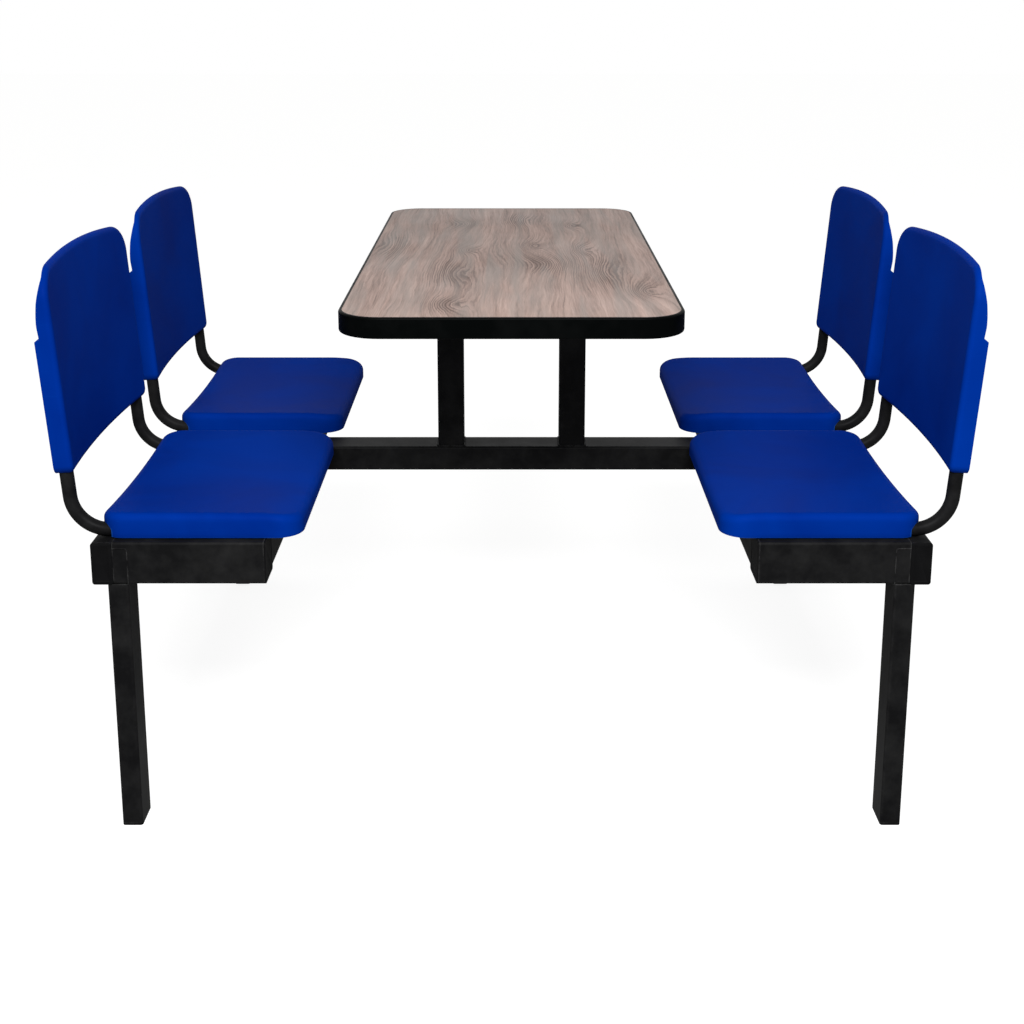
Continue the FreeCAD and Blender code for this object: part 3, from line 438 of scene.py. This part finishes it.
def meshData(name, mesh):
    # a finished mesh, its faces all turned outwards
    bmesh.ops.recalc_face_normals(mesh, faces=mesh.faces)
    data = bpy.data.meshes.new(name)
    mesh.to_mesh(data)
    mesh.free()
    return data


def newPiece(name, data, look, sharpAngle=30):
    # smooth shading that keeps the real corners, a material, and a place on the part
    data.shade_smooth()
    data.set_sharp_from_angle(angle=math.radians(sharpAngle))
    data.materials.append(look)
    piece = addObject(name, data)
    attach(piece, "root")
    return piece


def joinRings(mesh, rings, capped=True):
    # quads from ring to ring, and a face over each end
    for lower, upper in zip(rings, rings[1:]):
        for n in range(len(lower)):
            m = (n + 1) % len(lower)
            mesh.faces.new((lower[n], lower[m], upper[m], upper[n]))
    if capped:
        mesh.faces.new(rings[0][::-1])
        mesh.faces.new(rings[-1])


def at(x, y, z):
    return Matrix.Translation(Vector((x, y, z)) * mm)


def arcPoints(centre, radius, start, end, count):
    turns = [math.radians(start + (end - start) * k / count) for k in range(count + 1)]
    return [(centre[0] + radius * math.cos(a), centre[1] + radius * math.sin(a)) for a in turns]


turnSteps = 24
sixth = math.pi / 3


def turnedShape(mesh, place, rings, capped=True):
    # rings from one end to the other: each a radius and a height, and True where it is a hexagon that wide
    turns = [math.tau * n / turnSteps for n in range(turnSteps)]
    made = []
    for radius, height, *flats in rings:
        reach = [radius / math.cos((a + sixth / 2) % sixth - sixth / 2) if flats else radius for a in turns]
        made.append([mesh.verts.new(place @ (Vector((r * math.cos(a), r * math.sin(a), height)) * mm))
                     for a, r in zip(turns, reach)])
    joinRings(mesh, made, capped)


# moulded shells: a grid whose border lines follow the turned edge and whose corner blocks wrap the corners
shellFinish = {"rimSoft": 0.6, "rimSegments": 2, "rimAngle": 50.0, "sharpAngle": 38.0}
cutPast = 6.0      # how far a cutter reaches past what it cuts
notchSteps = 20


def inset(look, k, corner):
    # how far border line k lies in: crowded where the edge turns, even across the corner block
    roll, steps = look["roll"], look["steps"]
    if k <= steps["roll"]:
        return roll * (1 - math.cos(math.pi / 2 * k / steps["roll"]))
    return roll + (corner - roll) * (k - steps["roll"]) / steps["corner"]


def shellSpot(look, row, column):
    # where a row and a column cross, and how deep inside the border that is
    half, cornerLow, cornerHigh = look["half"], look["cornerLow"], look["cornerHigh"]
    coreLow, coreHigh = look["low"] + cornerLow, look["high"] - cornerHigh
    (sideA, stepA), (sideB, stepB) = row, column
    if sideA == 0:
        along = coreLow + (coreHigh - coreLow) * stepA
        corner = cornerLow + (cornerHigh - cornerLow) * (3 * stepA ** 2 - 2 * stepA ** 3)
        edgeA = math.inf
    else:
        corner = cornerLow if sideA < 0 else cornerHigh
        edgeA = inset(look, stepA, corner)
        along = look["low"] + edgeA if sideA < 0 else look["high"] - edgeA
    if sideB == 0:
        return (along, (half - corner) * (2 * stepB - 1)), edgeA
    edgeB = inset(look, stepB, corner)
    if sideA == 0:
        return (along, sideB * (half - edgeB)), edgeB
    # in a corner block the square lines are bent into quarter circles
    s, t = 1 - edgeA / corner, 1 - edgeB / corner
    reach = max(s, t)
    if reach < tiny:
        return (along, sideB * (half - edgeB)), corner
    turn = math.pi / 4 * (t / s) if s >= t else math.pi / 2 - math.pi / 4 * (s / t)
    centre = coreLow if sideA < 0 else coreHigh
    spot = (centre + sideA * corner * reach * math.cos(turn),
            sideB * (half - corner + corner * reach * math.sin(turn)))
    return spot, corner * (1 - reach)


def shellLines(steps, core):
    # the side that each line belongs to, and its number in the border or its share of the core
    border = range(steps["roll"] + steps["corner"] + 1)
    middle = [(0, k / core) for k in range(1, core)]
    return [(-1, k) for k in border] + middle + [(1, k) for k in reversed(border)]


def shellMesh(name, look, face, rimDepth):
    # rows run from a foot or lip to a head or rear edge, columns from side to side
    roll, steps = look["roll"], look["steps"]
    rows, columns = shellLines(steps, steps["core"]), shellLines(steps, steps["coreAcross"])
    mesh = bmesh.new()
    spots, grid = {}, {}
    for i, row in enumerate(rows):
        for j, column in enumerate(columns):
            spots[i, j], depth = shellSpot(look, row, column)
            drop = roll - math.sqrt(max(0.0, roll ** 2 - (roll - min(depth, roll)) ** 2))
            grid[i, j] = mesh.verts.new(face(*spots[i, j], drop))
    lastRow, lastColumn = len(rows) - 1, len(columns) - 1
    for i in range(lastRow):
        for j in range(lastColumn):
            mesh.faces.new((grid[i, j], grid[i + 1, j], grid[i + 1, j + 1], grid[i, j + 1]))
    loop = [(0, j) for j in range(lastColumn)] + [(i, lastColumn) for i in range(lastRow)]
    loop += [(lastRow, j) for j in range(lastColumn, 0, -1)] + [(i, 0) for i in range(lastRow, 0, -1)]
    rings = [[grid[key] for key in loop]]
    for k in range(1, steps["rim"] + 1):
        rings.append([mesh.verts.new(rimDepth(*spots[key], grid[key].co, k / steps["rim"])) for key in loop])
    joinRings(mesh, rings, capped=False)
    return meshData(name, mesh)


def prismMesh(outline, low, high, axis):
    # a closed outline drawn out along X or along Z
    order = {"x": lambda p, q, r: (r, p, q), "z": lambda p, q, r: (p, q, r)}[axis]
    mesh = bmesh.new()
    rings = [[mesh.verts.new(Vector(order(p, q, reach)) * mm) for p, q in outline] for reach in (low, high)]
    joinRings(mesh, rings)
    return meshData("cutter", mesh)


def thickenedShell(data, thick, cutters, outward):
    # wall, notches and softened rim, applied so that what is left is a plain mesh
    gridFace = data.polygons[len(data.polygons) // 3]      # the grid's faces come before the rim's
    if gridFace.normal.dot(Vector(outward)) < 0:
        data.flip_normals()
    made = addObject("shellBeingMade", data)
    wall = made.modifiers.new("wall", "SOLIDIFY")
    wall.thickness = thick * mm
    wall.offset = -1
    wall.use_even_offset = True
    tools = [addObject("cutter", cutter) for cutter in cutters]
    for tool in tools:
        cut = made.modifiers.new("notch", "BOOLEAN")
        cut.operation = "DIFFERENCE"
        cut.solver = "EXACT"
        cut.object = tool
    soft = made.modifiers.new("softRim", "BEVEL")
    soft.width = shellFinish["rimSoft"] * mm
    soft.segments = shellFinish["rimSegments"]
    soft.limit_method = "ANGLE"
    soft.angle_limit = math.radians(shellFinish["rimAngle"])
    bpy.context.view_layer.update()
    finished = bpy.data.meshes.new_from_object(made.evaluated_get(bpy.context.evaluated_depsgraph_get()))
    for thing in [made] + tools:
        bpy.data.objects.remove(thing)
    return finished


# what pans, backs, screws and plugs share: rowY and screwX from the table's middle, the others from a seat's
seatFrame = {"rowY": 250.0, "tubeSide": 192.0, "screwX": (372.0, 534.0), "screwY": 105.0}
bothSides = (-1, 1)
sideSigns, rowSigns = {"left": -1, "right": 1}, {"front": -1, "rear": 1}      # which way along X, and along Y

# seat pan: dished across, its front lip falls away under the knees, the skirt hides the tubes
pan = {
    "low": 300.0, "high": 588.0, "half": 207.0, "cornerLow": 36.0, "cornerHigh": 33.0,
    "roll": 11.0, "thick": 3.5, "top": 483.0, "foot": 447.0,
    "dish": 9.0, "dishHalf": 214.0, "lipFall": 7.0, "lipReach": 70.0,
    "steps": {"roll": 6, "corner": 6, "core": 40, "coreAcross": 48, "rim": 4},
    "tubeLevel": 455.2, "notchRadius": 10.5, "notchDeep": 30.0,
    "bossRadius": 7.5, "bossHole": 3.1, "bossFoot": 468.2,
    "bossSoft": 0.4, "bossFillet": 2.0, "bossSunk": 0.5,
}


def panFace(x, y, drop):
    dish = pan["dish"] * (1 - (y / pan["dishHalf"]) ** 2)
    fall = pan["lipFall"] * max(0.0, 1 - (x - pan["low"]) / pan["lipReach"]) ** 2
    return Vector((x, y, pan["top"] - dish - fall - drop)) * mm


def panSkirt(x, y, start, share):
    return Vector((x * mm, y * mm, start.z + (pan["foot"] * mm - start.z) * share))


def panMesh():
    notches = []
    radius, below = pan["notchRadius"], pan["foot"] - cutPast
    for side in bothSides:
        y = side * seatFrame["tubeSide"]
        outline = arcPoints((y, pan["tubeLevel"]), radius, 0, 180, notchSteps)
        outline += [(y - radius, below), (y + radius, below)]
        notches.append(prismMesh(outline, pan["high"] - pan["notchDeep"], pan["high"] + cutPast, "x"))
    data = thickenedShell(shellMesh("seatPan", pan, panFace, panSkirt), pan["thick"], notches, (0, 0, 1))
    mesh = bmesh.new()
    mesh.from_mesh(data)
    wide, foot, soft, fillet = pan["bossRadius"], pan["bossFoot"], pan["bossSoft"], pan["bossFillet"]
    for x in seatFrame["screwX"]:
        for y in (-seatFrame["screwY"], seatFrame["screwY"]):
            # a boss has a fillet where it meets the shell and a hole for its screw
            top = panFace(x, y, pan["thick"] - pan["bossSunk"]).z / mm
            rings = [(wide + fillet, top), (wide, top - fillet), (wide, foot + soft), (wide - soft, foot),
                     (pan["bossHole"], foot), (pan["bossHole"], top - fillet / 2)]
            turnedShape(mesh, at(x, y, 0), rings, capped=False)
    mesh.to_mesh(data)
    mesh.free()
    return data


# seat back: dished across, crowned at the head, deep round the tubes and thin above them
backrest = {
    "low": 0.0, "high": 303.0, "half": 210.0, "cornerLow": 14.0, "cornerHigh": 44.0,
    "roll": 8.2, "thick": 3.5, "dish": 12.0, "dishHalf": 214.0, "crown": 1800.0,
    "steps": {"roll": 6, "corner": 8, "core": 48, "coreAcross": 48, "rim": 5},
    "tubeInset": 16.5, "notchRadius": 10.6, "notchHigh": 9.6,
    "pocket": 206.0, "pocketDeep": 28.0, "rimLeast": 0.3,
    # above the pocket: a height and how deep the rim is there
    "ear": ((206.0, 21.0), (226.0, 22.2), (240.0, 21.0), (257.0, 18.4), (274.0, 14.4), (290.0, 10.8),
            (312.0, 9.4)),
    "x": 617.0, "foot": 543.0, "lean": 4.4,
}


def earDepth(z):
    stops = backrest["ear"]
    for (z0, d0), (z1, d1) in zip(stops, stops[1:]):
        if z <= z1:
            return d0 + (d1 - d0) * (z - z0) / (z1 - z0)
    return stops[-1][1]


def backFace(z, y, drop):
    raised = z + z / backrest["high"] * (math.sqrt(backrest["crown"] ** 2 - y ** 2) - backrest["crown"])
    return Vector((backrest["dish"] * (1 - (y / backrest["dishHalf"]) ** 2) + drop, y, raised)) * mm


def backRim(z, y, start, share):
    deep = backrest["pocketDeep"] if z < backrest["pocket"] else earDepth(z)
    reach = max(deep * mm, start.x + backrest["rimLeast"] * mm)
    return Vector((start.x + (reach - start.x) * share, start.y, start.z))


def backMesh():
    notches = []
    radius, behind = backrest["notchRadius"], backrest["pocketDeep"] + cutPast
    for side in bothSides:
        y = side * seatFrame["tubeSide"]
        outline = arcPoints((backrest["tubeInset"], y), radius, 270, 90, notchSteps)
        outline += [(behind, y + radius), (behind, y - radius)]
        notches.append(prismMesh(outline, -cutPast, backrest["notchHigh"], "z"))
    shell = shellMesh("seatBack", backrest, backFace, backRim)
    return thickenedShell(shell, backrest["thick"], notches, (-1, 0, 0))


# each seat: its side and row, its direction from the table, its middle, and where its pan and back stand
seats = []
for side, outward in sideSigns.items():
    for row, rearward in rowSigns.items():
        along = rearward * seatFrame["rowY"]
        turned = Matrix.Rotation(math.pi if side == "left" else 0.0, 4, "Z")
        lean = Matrix.Rotation(math.radians(backrest["lean"]), 4, "Y")
        backPlace = at(outward * backrest["x"], along, backrest["foot"]) @ turned @ lean
        seats.append((side, row, outward, along, at(0, along, 0) @ turned, backPlace))

panShape, backShape = panMesh(), backMesh()
for side, row, _, _, panPlace, backPlace in seats:
    for kind, shape, place in (("Pan", panShape, panPlace), ("Back", backShape, backPlace)):
        data = shape.copy()
        data.transform(place)
        name = f"seat{kind}{row.capitalize()}{side.capitalize()}"
        piece = newPiece(name, data, plasticBlue, shellFinish["sharpAngle"])
        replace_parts(piece, f"seat_{kind.lower()}_{row}_{side}")
print("seats made:", len(seats), "pans of", len(panShape.vertices), "points, backs of",
      len(backShape.vertices))


# screws, by their radii, lengths and heights: a low domed head with a hexagon socket
screws = {
    "top": {"shank": 2.4, "long": 34.0, "head": 5.5, "high": 2.6, "flat": 2.5, "socket": 1.3},
    "seat": {"shank": 2.9, "long": 7.2, "head": 5.5, "high": 3.0, "flat": 2.6, "socket": 1.6},
    "back": {"shank": 2.3, "long": 21.9, "head": 4.5, "high": 1.4, "flat": 2.0, "socket": 0.8},
}
screwForm = {
    "tipLong": 1.2, "tipWide": 0.3,      # its length, and its width as a share of the shank's
    "brim": 0.35, "domeTurns": (0, 20, 40, 58),      # the brim is the share of a head's height below the dome
    "rim": 0.5, "taper": 0.1,      # round the socket, and how much the socket narrows
}
topScrews = {"x": 104.0, "y": (60.0, 340.0), "z": 730.0}
seatScrewLevel = 465.0
backScrews = {"deep": 26.5, "z": (60.0, 160.0)}
# plugs in the tubes' front ends: a disc with a softened rim on a stem
plugs = {
    "x": 333.0, "z": 455.0, "radius": 10.0, "stem": 8.4, "deep": 12.0, "thick": 2.0,
    "bevel": (0.8, 1.0), "middle": 0.4,
    "rim": ((0.0, 0.5), (0.5, 0.8), (1.6, 1.0)),      # how far in, and the share of the thickness there
}


def screwRings(kind):
    look, form = screws[kind], screwForm
    head, high, flat, shank, tip = look["head"], look["high"], look["flat"], look["shank"], -look["long"]
    rings = [(form["tipWide"] * shank, tip), (shank, tip + form["tipLong"]), (shank, 0.0), (head, 0.0)]
    for turn in form["domeTurns"]:
        a = math.radians(turn)
        rings.append((head * math.cos(a) ** 0.5, high * (form["brim"] + (1 - form["brim"]) * math.sin(a))))
    rings += [(flat + form["rim"], high), (flat, high, True)]
    return rings + [(flat - form["taper"], high - look["socket"], True)]


def plugRings():
    radius, stem, deep, thick = plugs["radius"], plugs["stem"], plugs["deep"], plugs["thick"]
    narrowed, tip = plugs["bevel"]
    rings = [(stem - narrowed, -deep), (stem, tip - deep), (stem, 0), (radius, 0)]
    rings += [(radius - into, thick * share) for into, share in plugs["rim"]]
    return rings + [(radius * plugs["middle"], thick)]


facingDown = Matrix.Rotation(math.pi, 4, "X")
topMesh, seatMesh, backHeads, plugMesh = (bmesh.new() for _ in range(4))
for side in bothSides:
    for y in topScrews["y"]:
        for row in bothSides:
            place = at(side * topScrews["x"], row * y, topScrews["z"]) @ facingDown
            turnedShape(topMesh, place, screwRings("top"))
for _, _, outward, along, _, backPlace in seats:
    for side in bothSides:
        for x in seatFrame["screwX"]:
            place = at(outward * x, along + side * seatFrame["screwY"], seatScrewLevel) @ facingDown
            turnedShape(seatMesh, place, screwRings("seat"))
        for z in backScrews["z"]:
            place = backPlace @ at(backScrews["deep"], side * seatFrame["tubeSide"], z)
            turnedShape(backHeads, place @ Matrix.Rotation(math.pi / 2, 4, "Y"), screwRings("back"))
        place = at(outward * plugs["x"], along + side * seatFrame["tubeSide"], plugs["z"])
        turnedShape(plugMesh, place @ Matrix.Rotation(-outward * math.pi / 2, 4, "Y"), plugRings())
smallParts = {
    "topScrewHeads": (topMesh, screwZinc, "screw", "top_screws"),
    "seatScrewHeads": (seatMesh, screwZinc, "screw", "seat_screws"),
    "backScrewHeads": (backHeads, screwZinc, "screw", "back_screws"),
    "tubePlugs": (plugMesh, capBlack, "cap", "tube_plugs"),
}
for name, (mesh, look, slotName, node) in smallParts.items():
    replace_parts(newPiece(name, meshData(name, mesh), look), node)
print("screws and plugs made")


# end caps: thin moulded plates with rounded corners, a softened rim and a shallow pressed panel
caps = {"corner": 4.0, "cornerLeast": 0.8, "cornerSteps": 6, "thick": 2.0, "soft": 0.7, "knee": 0.3,
        "panel": 5.0, "slope": 0.6, "sunk": 0.4}


def cornersOf(node):
    low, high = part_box(node)
    return [v / mm for v in low], [v / mm for v in high]


def capPlate(mesh, node, axis, sign):
    # a plate on the end of a tube, built in the two directions across it
    low, high = cornersOf(node)
    end = high[axis] if sign > 0 else low[axis]
    p, q = [k for k in (0, 1, 2) if k != axis]
    thick, soft, panel = caps["thick"], caps["soft"], caps["panel"]
    knee = soft * caps["knee"]
    corners = ((high[p], high[q], 0), (low[p], high[q], 90), (low[p], low[q], 180), (high[p], low[q], 270))
    rings = []
    for into, reach in ((0, 0), (0, thick - soft), (knee, thick - knee), (soft, thick), (panel, thick),
                        (panel + caps["slope"], thick - caps["sunk"])):
        corner = max(caps["corner"] - into, caps["cornerLeast"])
        ring = []
        for cx, cy, start in corners:
            middle = (cx - math.copysign(into + corner, cx - (low[p] + high[p]) / 2),
                      cy - math.copysign(into + corner, cy - (low[q] + high[q]) / 2))
            for a, b in arcPoints(middle, corner, start, start + 90, caps["cornerSteps"]):
                spot = [0, 0, 0]
                spot[p], spot[q], spot[axis] = a * mm, b * mm, (end + sign * reach) * mm
                ring.append(mesh.verts.new(spot))
        rings.append(ring)
    joinRings(mesh, rings)


# each cap: the tube that carries it, the axis it looks along, and which way
ends = {
    "topBarCaps": ("top_bar_caps", [(f"top_bar_{side}", 1, way) for side in sideSigns for way in bothSides]),
    "railEndCaps": ("rail_end_caps",
                    [(f"rail_outer_{side}", 1, way) for side in sideSigns for way in bothSides]),
    "armEndCaps": ("arm_end_caps",
                   [(f"arm_{row}_{side}", 0, -sideSigns[side]) for side in sideSigns for row in rowSigns]),
}
for name, (node, places) in ends.items():
    plates = bmesh.new()
    for carrier, axis, sign in places:
        capPlate(plates, carrier, axis, sign)
    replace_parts(newPiece(name, meshData(name, plates), capBlack), node)
print("caps made")


# weld beads: short overlapping pools of weld metal laid along a joint, painted over with the frame
weld = {
    "radius": 2.7, "ripple": 0.16, "rippleShape": 0.6, "pitch": 2.6, "endWide": 0.45, "endLong": 2.5,
    "step": 0.65, "fewestSteps": 6, "sides": 10, "turn": 4.0, "turnSteps": 5, "sharpAngle": 60.0,
    "stop": 3.0, "armStop": 4.0,      # how far a bead stops short of an edge, and in a corner of the arms
    "seam": 1.0, "seamBelow": 9.0,      # a leg's ground seam: its radius, and how far below the arm's top
    # a side tube's beads: places and length on an arm, lengths on the rails, and how far they lie beside the
    # tube's middle and above its underside
    "armTacks": (400.0, 520.0), "tack": 24.0, "railTack": 20.0, "endTack": 10.0,
    "tubeEdge": 5.6, "tubeRise": 1.2,
}


def beadAlong(mesh, path, thick=weld["radius"]):
    # a tube along a run of points, its radius rising and falling once for each pool
    spots = [Vector(spot) for spot in path]
    lengths = [0.0]
    for a, b in zip(spots, spots[1:]):
        lengths.append(lengths[-1] + (b - a).length)
    full = lengths[-1]
    count = max(weld["fewestSteps"], round(full / weld["step"]))
    turns = [math.tau * j / weld["sides"] for j in range(weld["sides"])]
    side = (spots[1] - spots[0]).orthogonal().normalized()
    rings = []
    for k in range(count + 1):
        run = full * k / count
        n = max(i for i in range(len(spots) - 1) if lengths[i] <= run + tiny)
        centre = spots[n].lerp(spots[n + 1], (run - lengths[n]) / (lengths[n + 1] - lengths[n]))
        ahead = (spots[n + 1] - spots[n]).normalized()
        side = (side - ahead * side.dot(ahead)).normalized()
        other = ahead.cross(side)
        pool = (run / weld["pitch"]) % 1.0
        swell = math.sin(math.pi * pool) ** weld["rippleShape"]
        radius = thick * (1 - weld["ripple"] + weld["ripple"] * swell)
        radius *= min(1.0, weld["endWide"] + (1 - weld["endWide"]) * min(run, full - run) / weld["endLong"])
        around = [centre + side * (radius * math.cos(t)) + other * (radius * math.sin(t)) for t in turns]
        rings.append([mesh.verts.new(spot * mm) for spot in around])
    joinRings(mesh, rings)


def roundedRun(corners):
    # a run of points with its corners turned through a curve
    spots = [Vector(corner) for corner in corners]
    run = [spots[0]]
    for before, here, after in zip(spots, spots[1:], spots[2:]):
        first = here + (before - here).normalized() * weld["turn"]
        last = here + (after - here).normalized() * weld["turn"]
        shares = [k / weld["turnSteps"] for k in range(weld["turnSteps"] + 1)]
        run += [first.lerp(here, t).lerp(here.lerp(last, t), t) for t in shares]
    return run + [spots[-1]]


beads = bmesh.new()
stop, armStop = weld["stop"], weld["armStop"]
beamLow, beamHigh = cornersOf("center_beam")
for side, outward in sideSigns.items():
    # a post's foot on the beam and its head under the bar
    low, high = cornersOf(f"post_{side}")
    middle = (low[0] + high[0]) / 2
    foot = [(middle, low[1]), (low[0], low[1]), (low[0], high[1]), (high[0], high[1]), (high[0], low[1]),
            (middle, low[1])]
    beadAlong(beads, roundedRun([(x, y, low[2]) for x, y in foot]))
    barLow, barHigh = cornersOf(f"top_bar_{side}")
    for y in (low[1], high[1]):
        beadAlong(beads, [(barLow[0] + stop, y, barLow[2]), (barHigh[0] - stop, y, barLow[2])])
    # the beam's end, down one side, under and up the other
    end = outward * beamHigh[0]
    beadAlong(beads, roundedRun([(end, beamLow[1], beamHigh[2] - stop), (end, beamLow[1], beamLow[2]),
                                 (end, beamHigh[1], beamLow[2]), (end, beamHigh[1], beamHigh[2] - stop)]))
    innerLow, innerHigh = cornersOf(f"rail_inner_{side}")
    outerLow, outerHigh = cornersOf(f"rail_outer_{side}")
    innerFace = innerHigh[0] if outward > 0 else innerLow[0]
    outerFace = outerLow[0] if outward > 0 else outerHigh[0]
    for row, rearward in rowSigns.items():
        # the corners where the arm meets the rails
        armLow, armHigh = cornersOf(f"arm_{row}_{side}")
        armFace = armHigh[1] if row == "front" else armLow[1]
        for x in (innerFace, outerFace):
            beadAlong(beads, [(x, armFace, armLow[2] + armStop), (x, armFace, armHigh[2] - armStop)])
        # the leg's head under the arm
        legLow, legHigh = cornersOf(f"leg_{row}_{side}")
        legFace, legEnd = (legHigh[1], legLow[1]) if row == "front" else (legLow[1], legHigh[1])
        start = legEnd - rearward * stop
        beadAlong(beads, roundedRun([(legLow[0], start, legHigh[2]), (legLow[0], legFace, legHigh[2]),
                                     (legHigh[0], legFace, legHigh[2]), (legHigh[0], start, legHigh[2])]))
        # the leg's own face shows in the arm as a ground seam
        seamTop = armHigh[2] - weld["seamBelow"]
        seam = [(legLow[0], legEnd, armLow[2]), (legLow[0], legEnd, seamTop),
                (legHigh[0], legEnd, seamTop), (legHigh[0], legEnd, armLow[2])]
        beadAlong(beads, roundedRun(seam), weld["seam"])
        for place in ("near", "far"):
            tubeLow, tubeHigh = cornersOf(f"side_tube_{place}_{row}_{side}")
            y = (tubeLow[1] + tubeHigh[1]) / 2
            if min(abs(armLow[1]), abs(armHigh[1])) < abs(y):
                # this tube lies along the arm
                tacks = [(outward * x - weld["tack"] / 2, weld["tack"]) for x in weld["armTacks"]]
            else:
                # this one crosses the inner rail and rises over the outer one
                last = outerFace + armStop if outward > 0 else outerFace - armStop - weld["endTack"]
                tacks = [(innerLow[0] + armStop, weld["railTack"]), (last, weld["endTack"])]
            level = tubeLow[2] + weld["tubeRise"]
            for start, reach in tacks:
                for edge in (-weld["tubeEdge"], weld["tubeEdge"]):
                    beadAlong(beads, [(start, y + edge, level), (start + reach, y + edge, level)])
newPiece("weldBeads", meshData("weldBeads", beads), steelBlack, weld["sharpAngle"])
print("welds made")


# floor and light
studio = {
    "floor": "#aaaaa9", "glow": 0.84, "ambient": 0.38, "floorHalf": 20.0, "floorParts": 8, "rollerWide": 33.3,
    "key": 100.0, "keyPlace": (0.0, -2.3, 2.25), "keyAim": (0.0, 0.0, 0.55), "keyWide": 1.4, "keyHigh": 0.9,
}
plainWhite = (1, 1, 1, 1)


def studioFloor():
    # painted plywood floor of a studio, matt white, spread thin with a roller
    material, tree, where = newMaterial("studioFloorWhite")
    roller = addNode(tree, "ShaderNodeTexNoise", {"Scale": perMetre(studio["rollerWide"]), "Detail": 3.0},
                     {"Vector": where})
    bump = addNode(tree, "ShaderNodeBump", {"Strength": 0.05, "Distance": mm},
                   {"Height": roller.outputs["Fac"]})
    surface = addNode(tree, "ShaderNodeBsdfPrincipled",
                      {"Base Color": linear(studio["floor"]), "Roughness": 0.9, "Specular IOR Level": 0.0},
                      {"Normal": bump.outputs["Normal"]})
    glow = addNode(tree, "ShaderNodeEmission", {"Color": plainWhite, "Strength": studio["glow"]})
    lit = addNode(tree, "ShaderNodeAddShader", None,
                  {0: surface.outputs["BSDF"], 1: glow.outputs["Emission"]})
    ray = addNode(tree, "ShaderNodeLightPath")
    seen = addNode(tree, "ShaderNodeMixShader", None,
                   {0: ray.outputs["Is Camera Ray"], 1: surface.outputs["BSDF"], 2: lit.outputs["Shader"]})
    addNode(tree, "ShaderNodeOutputMaterial", None, {"Surface": seen.outputs["Shader"]})
    return material


ground = bmesh.new()
parts = studio["floorParts"]
bmesh.ops.create_grid(ground, x_segments=parts, y_segments=parts, size=studio["floorHalf"])
groundData = bpy.data.meshes.new("studioFloor")
ground.to_mesh(groundData)
ground.free()
groundData.materials.append(studioFloor())
floor = addObject("studioFloor", groundData)

# plain white where the camera, a reflection or a clear piece looks at it, and a softer light on the part
world = bpy.data.worlds.new("studio")
bpy.context.scene.world = world
world.use_nodes = True
air = world.node_tree
air.nodes.clear()
ray = addNode(air, "ShaderNodeLightPath")
shown = ray.outputs["Is Camera Ray"]
for kind in ("Is Glossy Ray", "Is Transmission Ray"):
    shown = addNode(air, "ShaderNodeMath", None, {0: shown, 1: ray.outputs[kind]},
                    operation="MAXIMUM").outputs["Value"]
ambient = addNode(air, "ShaderNodeBackground", {"Color": plainWhite, "Strength": studio["ambient"]})
white = addNode(air, "ShaderNodeBackground", {"Color": plainWhite, "Strength": 1.0})
sky = addNode(air, "ShaderNodeMixShader", None,
              {0: shown, 1: ambient.outputs["Background"], 2: white.outputs["Background"]})
addNode(air, "ShaderNodeOutputWorld", None, {"Surface": sky.outputs["Shader"]})

lamp = bpy.data.lights.new("keySoftbox", "AREA")
lamp.shape = "RECTANGLE"
lamp.size, lamp.size_y = studio["keyWide"], studio["keyHigh"]
lamp.energy = studio["key"]
softbox = addObject("keySoftbox", lamp)
softbox.location = studio["keyPlace"]
aim = Vector(studio["keyAim"]) - Vector(studio["keyPlace"])
softbox.rotation_euler = aim.to_track_quat("-Z", "Y").to_euler()

framing = {"lens": 50.4, "shiftX": 0.0005, "shiftY": -0.2, "far": 100.0,
           "place": (0.0, -2.385, 1.206), "down": 12.34}
camera = bpy.data.cameras.new("camera")
camera.lens = framing["lens"]
camera.shift_x = framing["shiftX"]
camera.shift_y = framing["shiftY"]
camera.clip_end = framing["far"]
view = addObject("camera", camera)
view.location = framing["place"]
view.rotation_euler = (math.radians(90 - framing["down"]), 0, 0)
bpy.context.scene.camera = view
bpy.context.scene.view_settings.view_transform = "Standard"
print("camera and lights set")
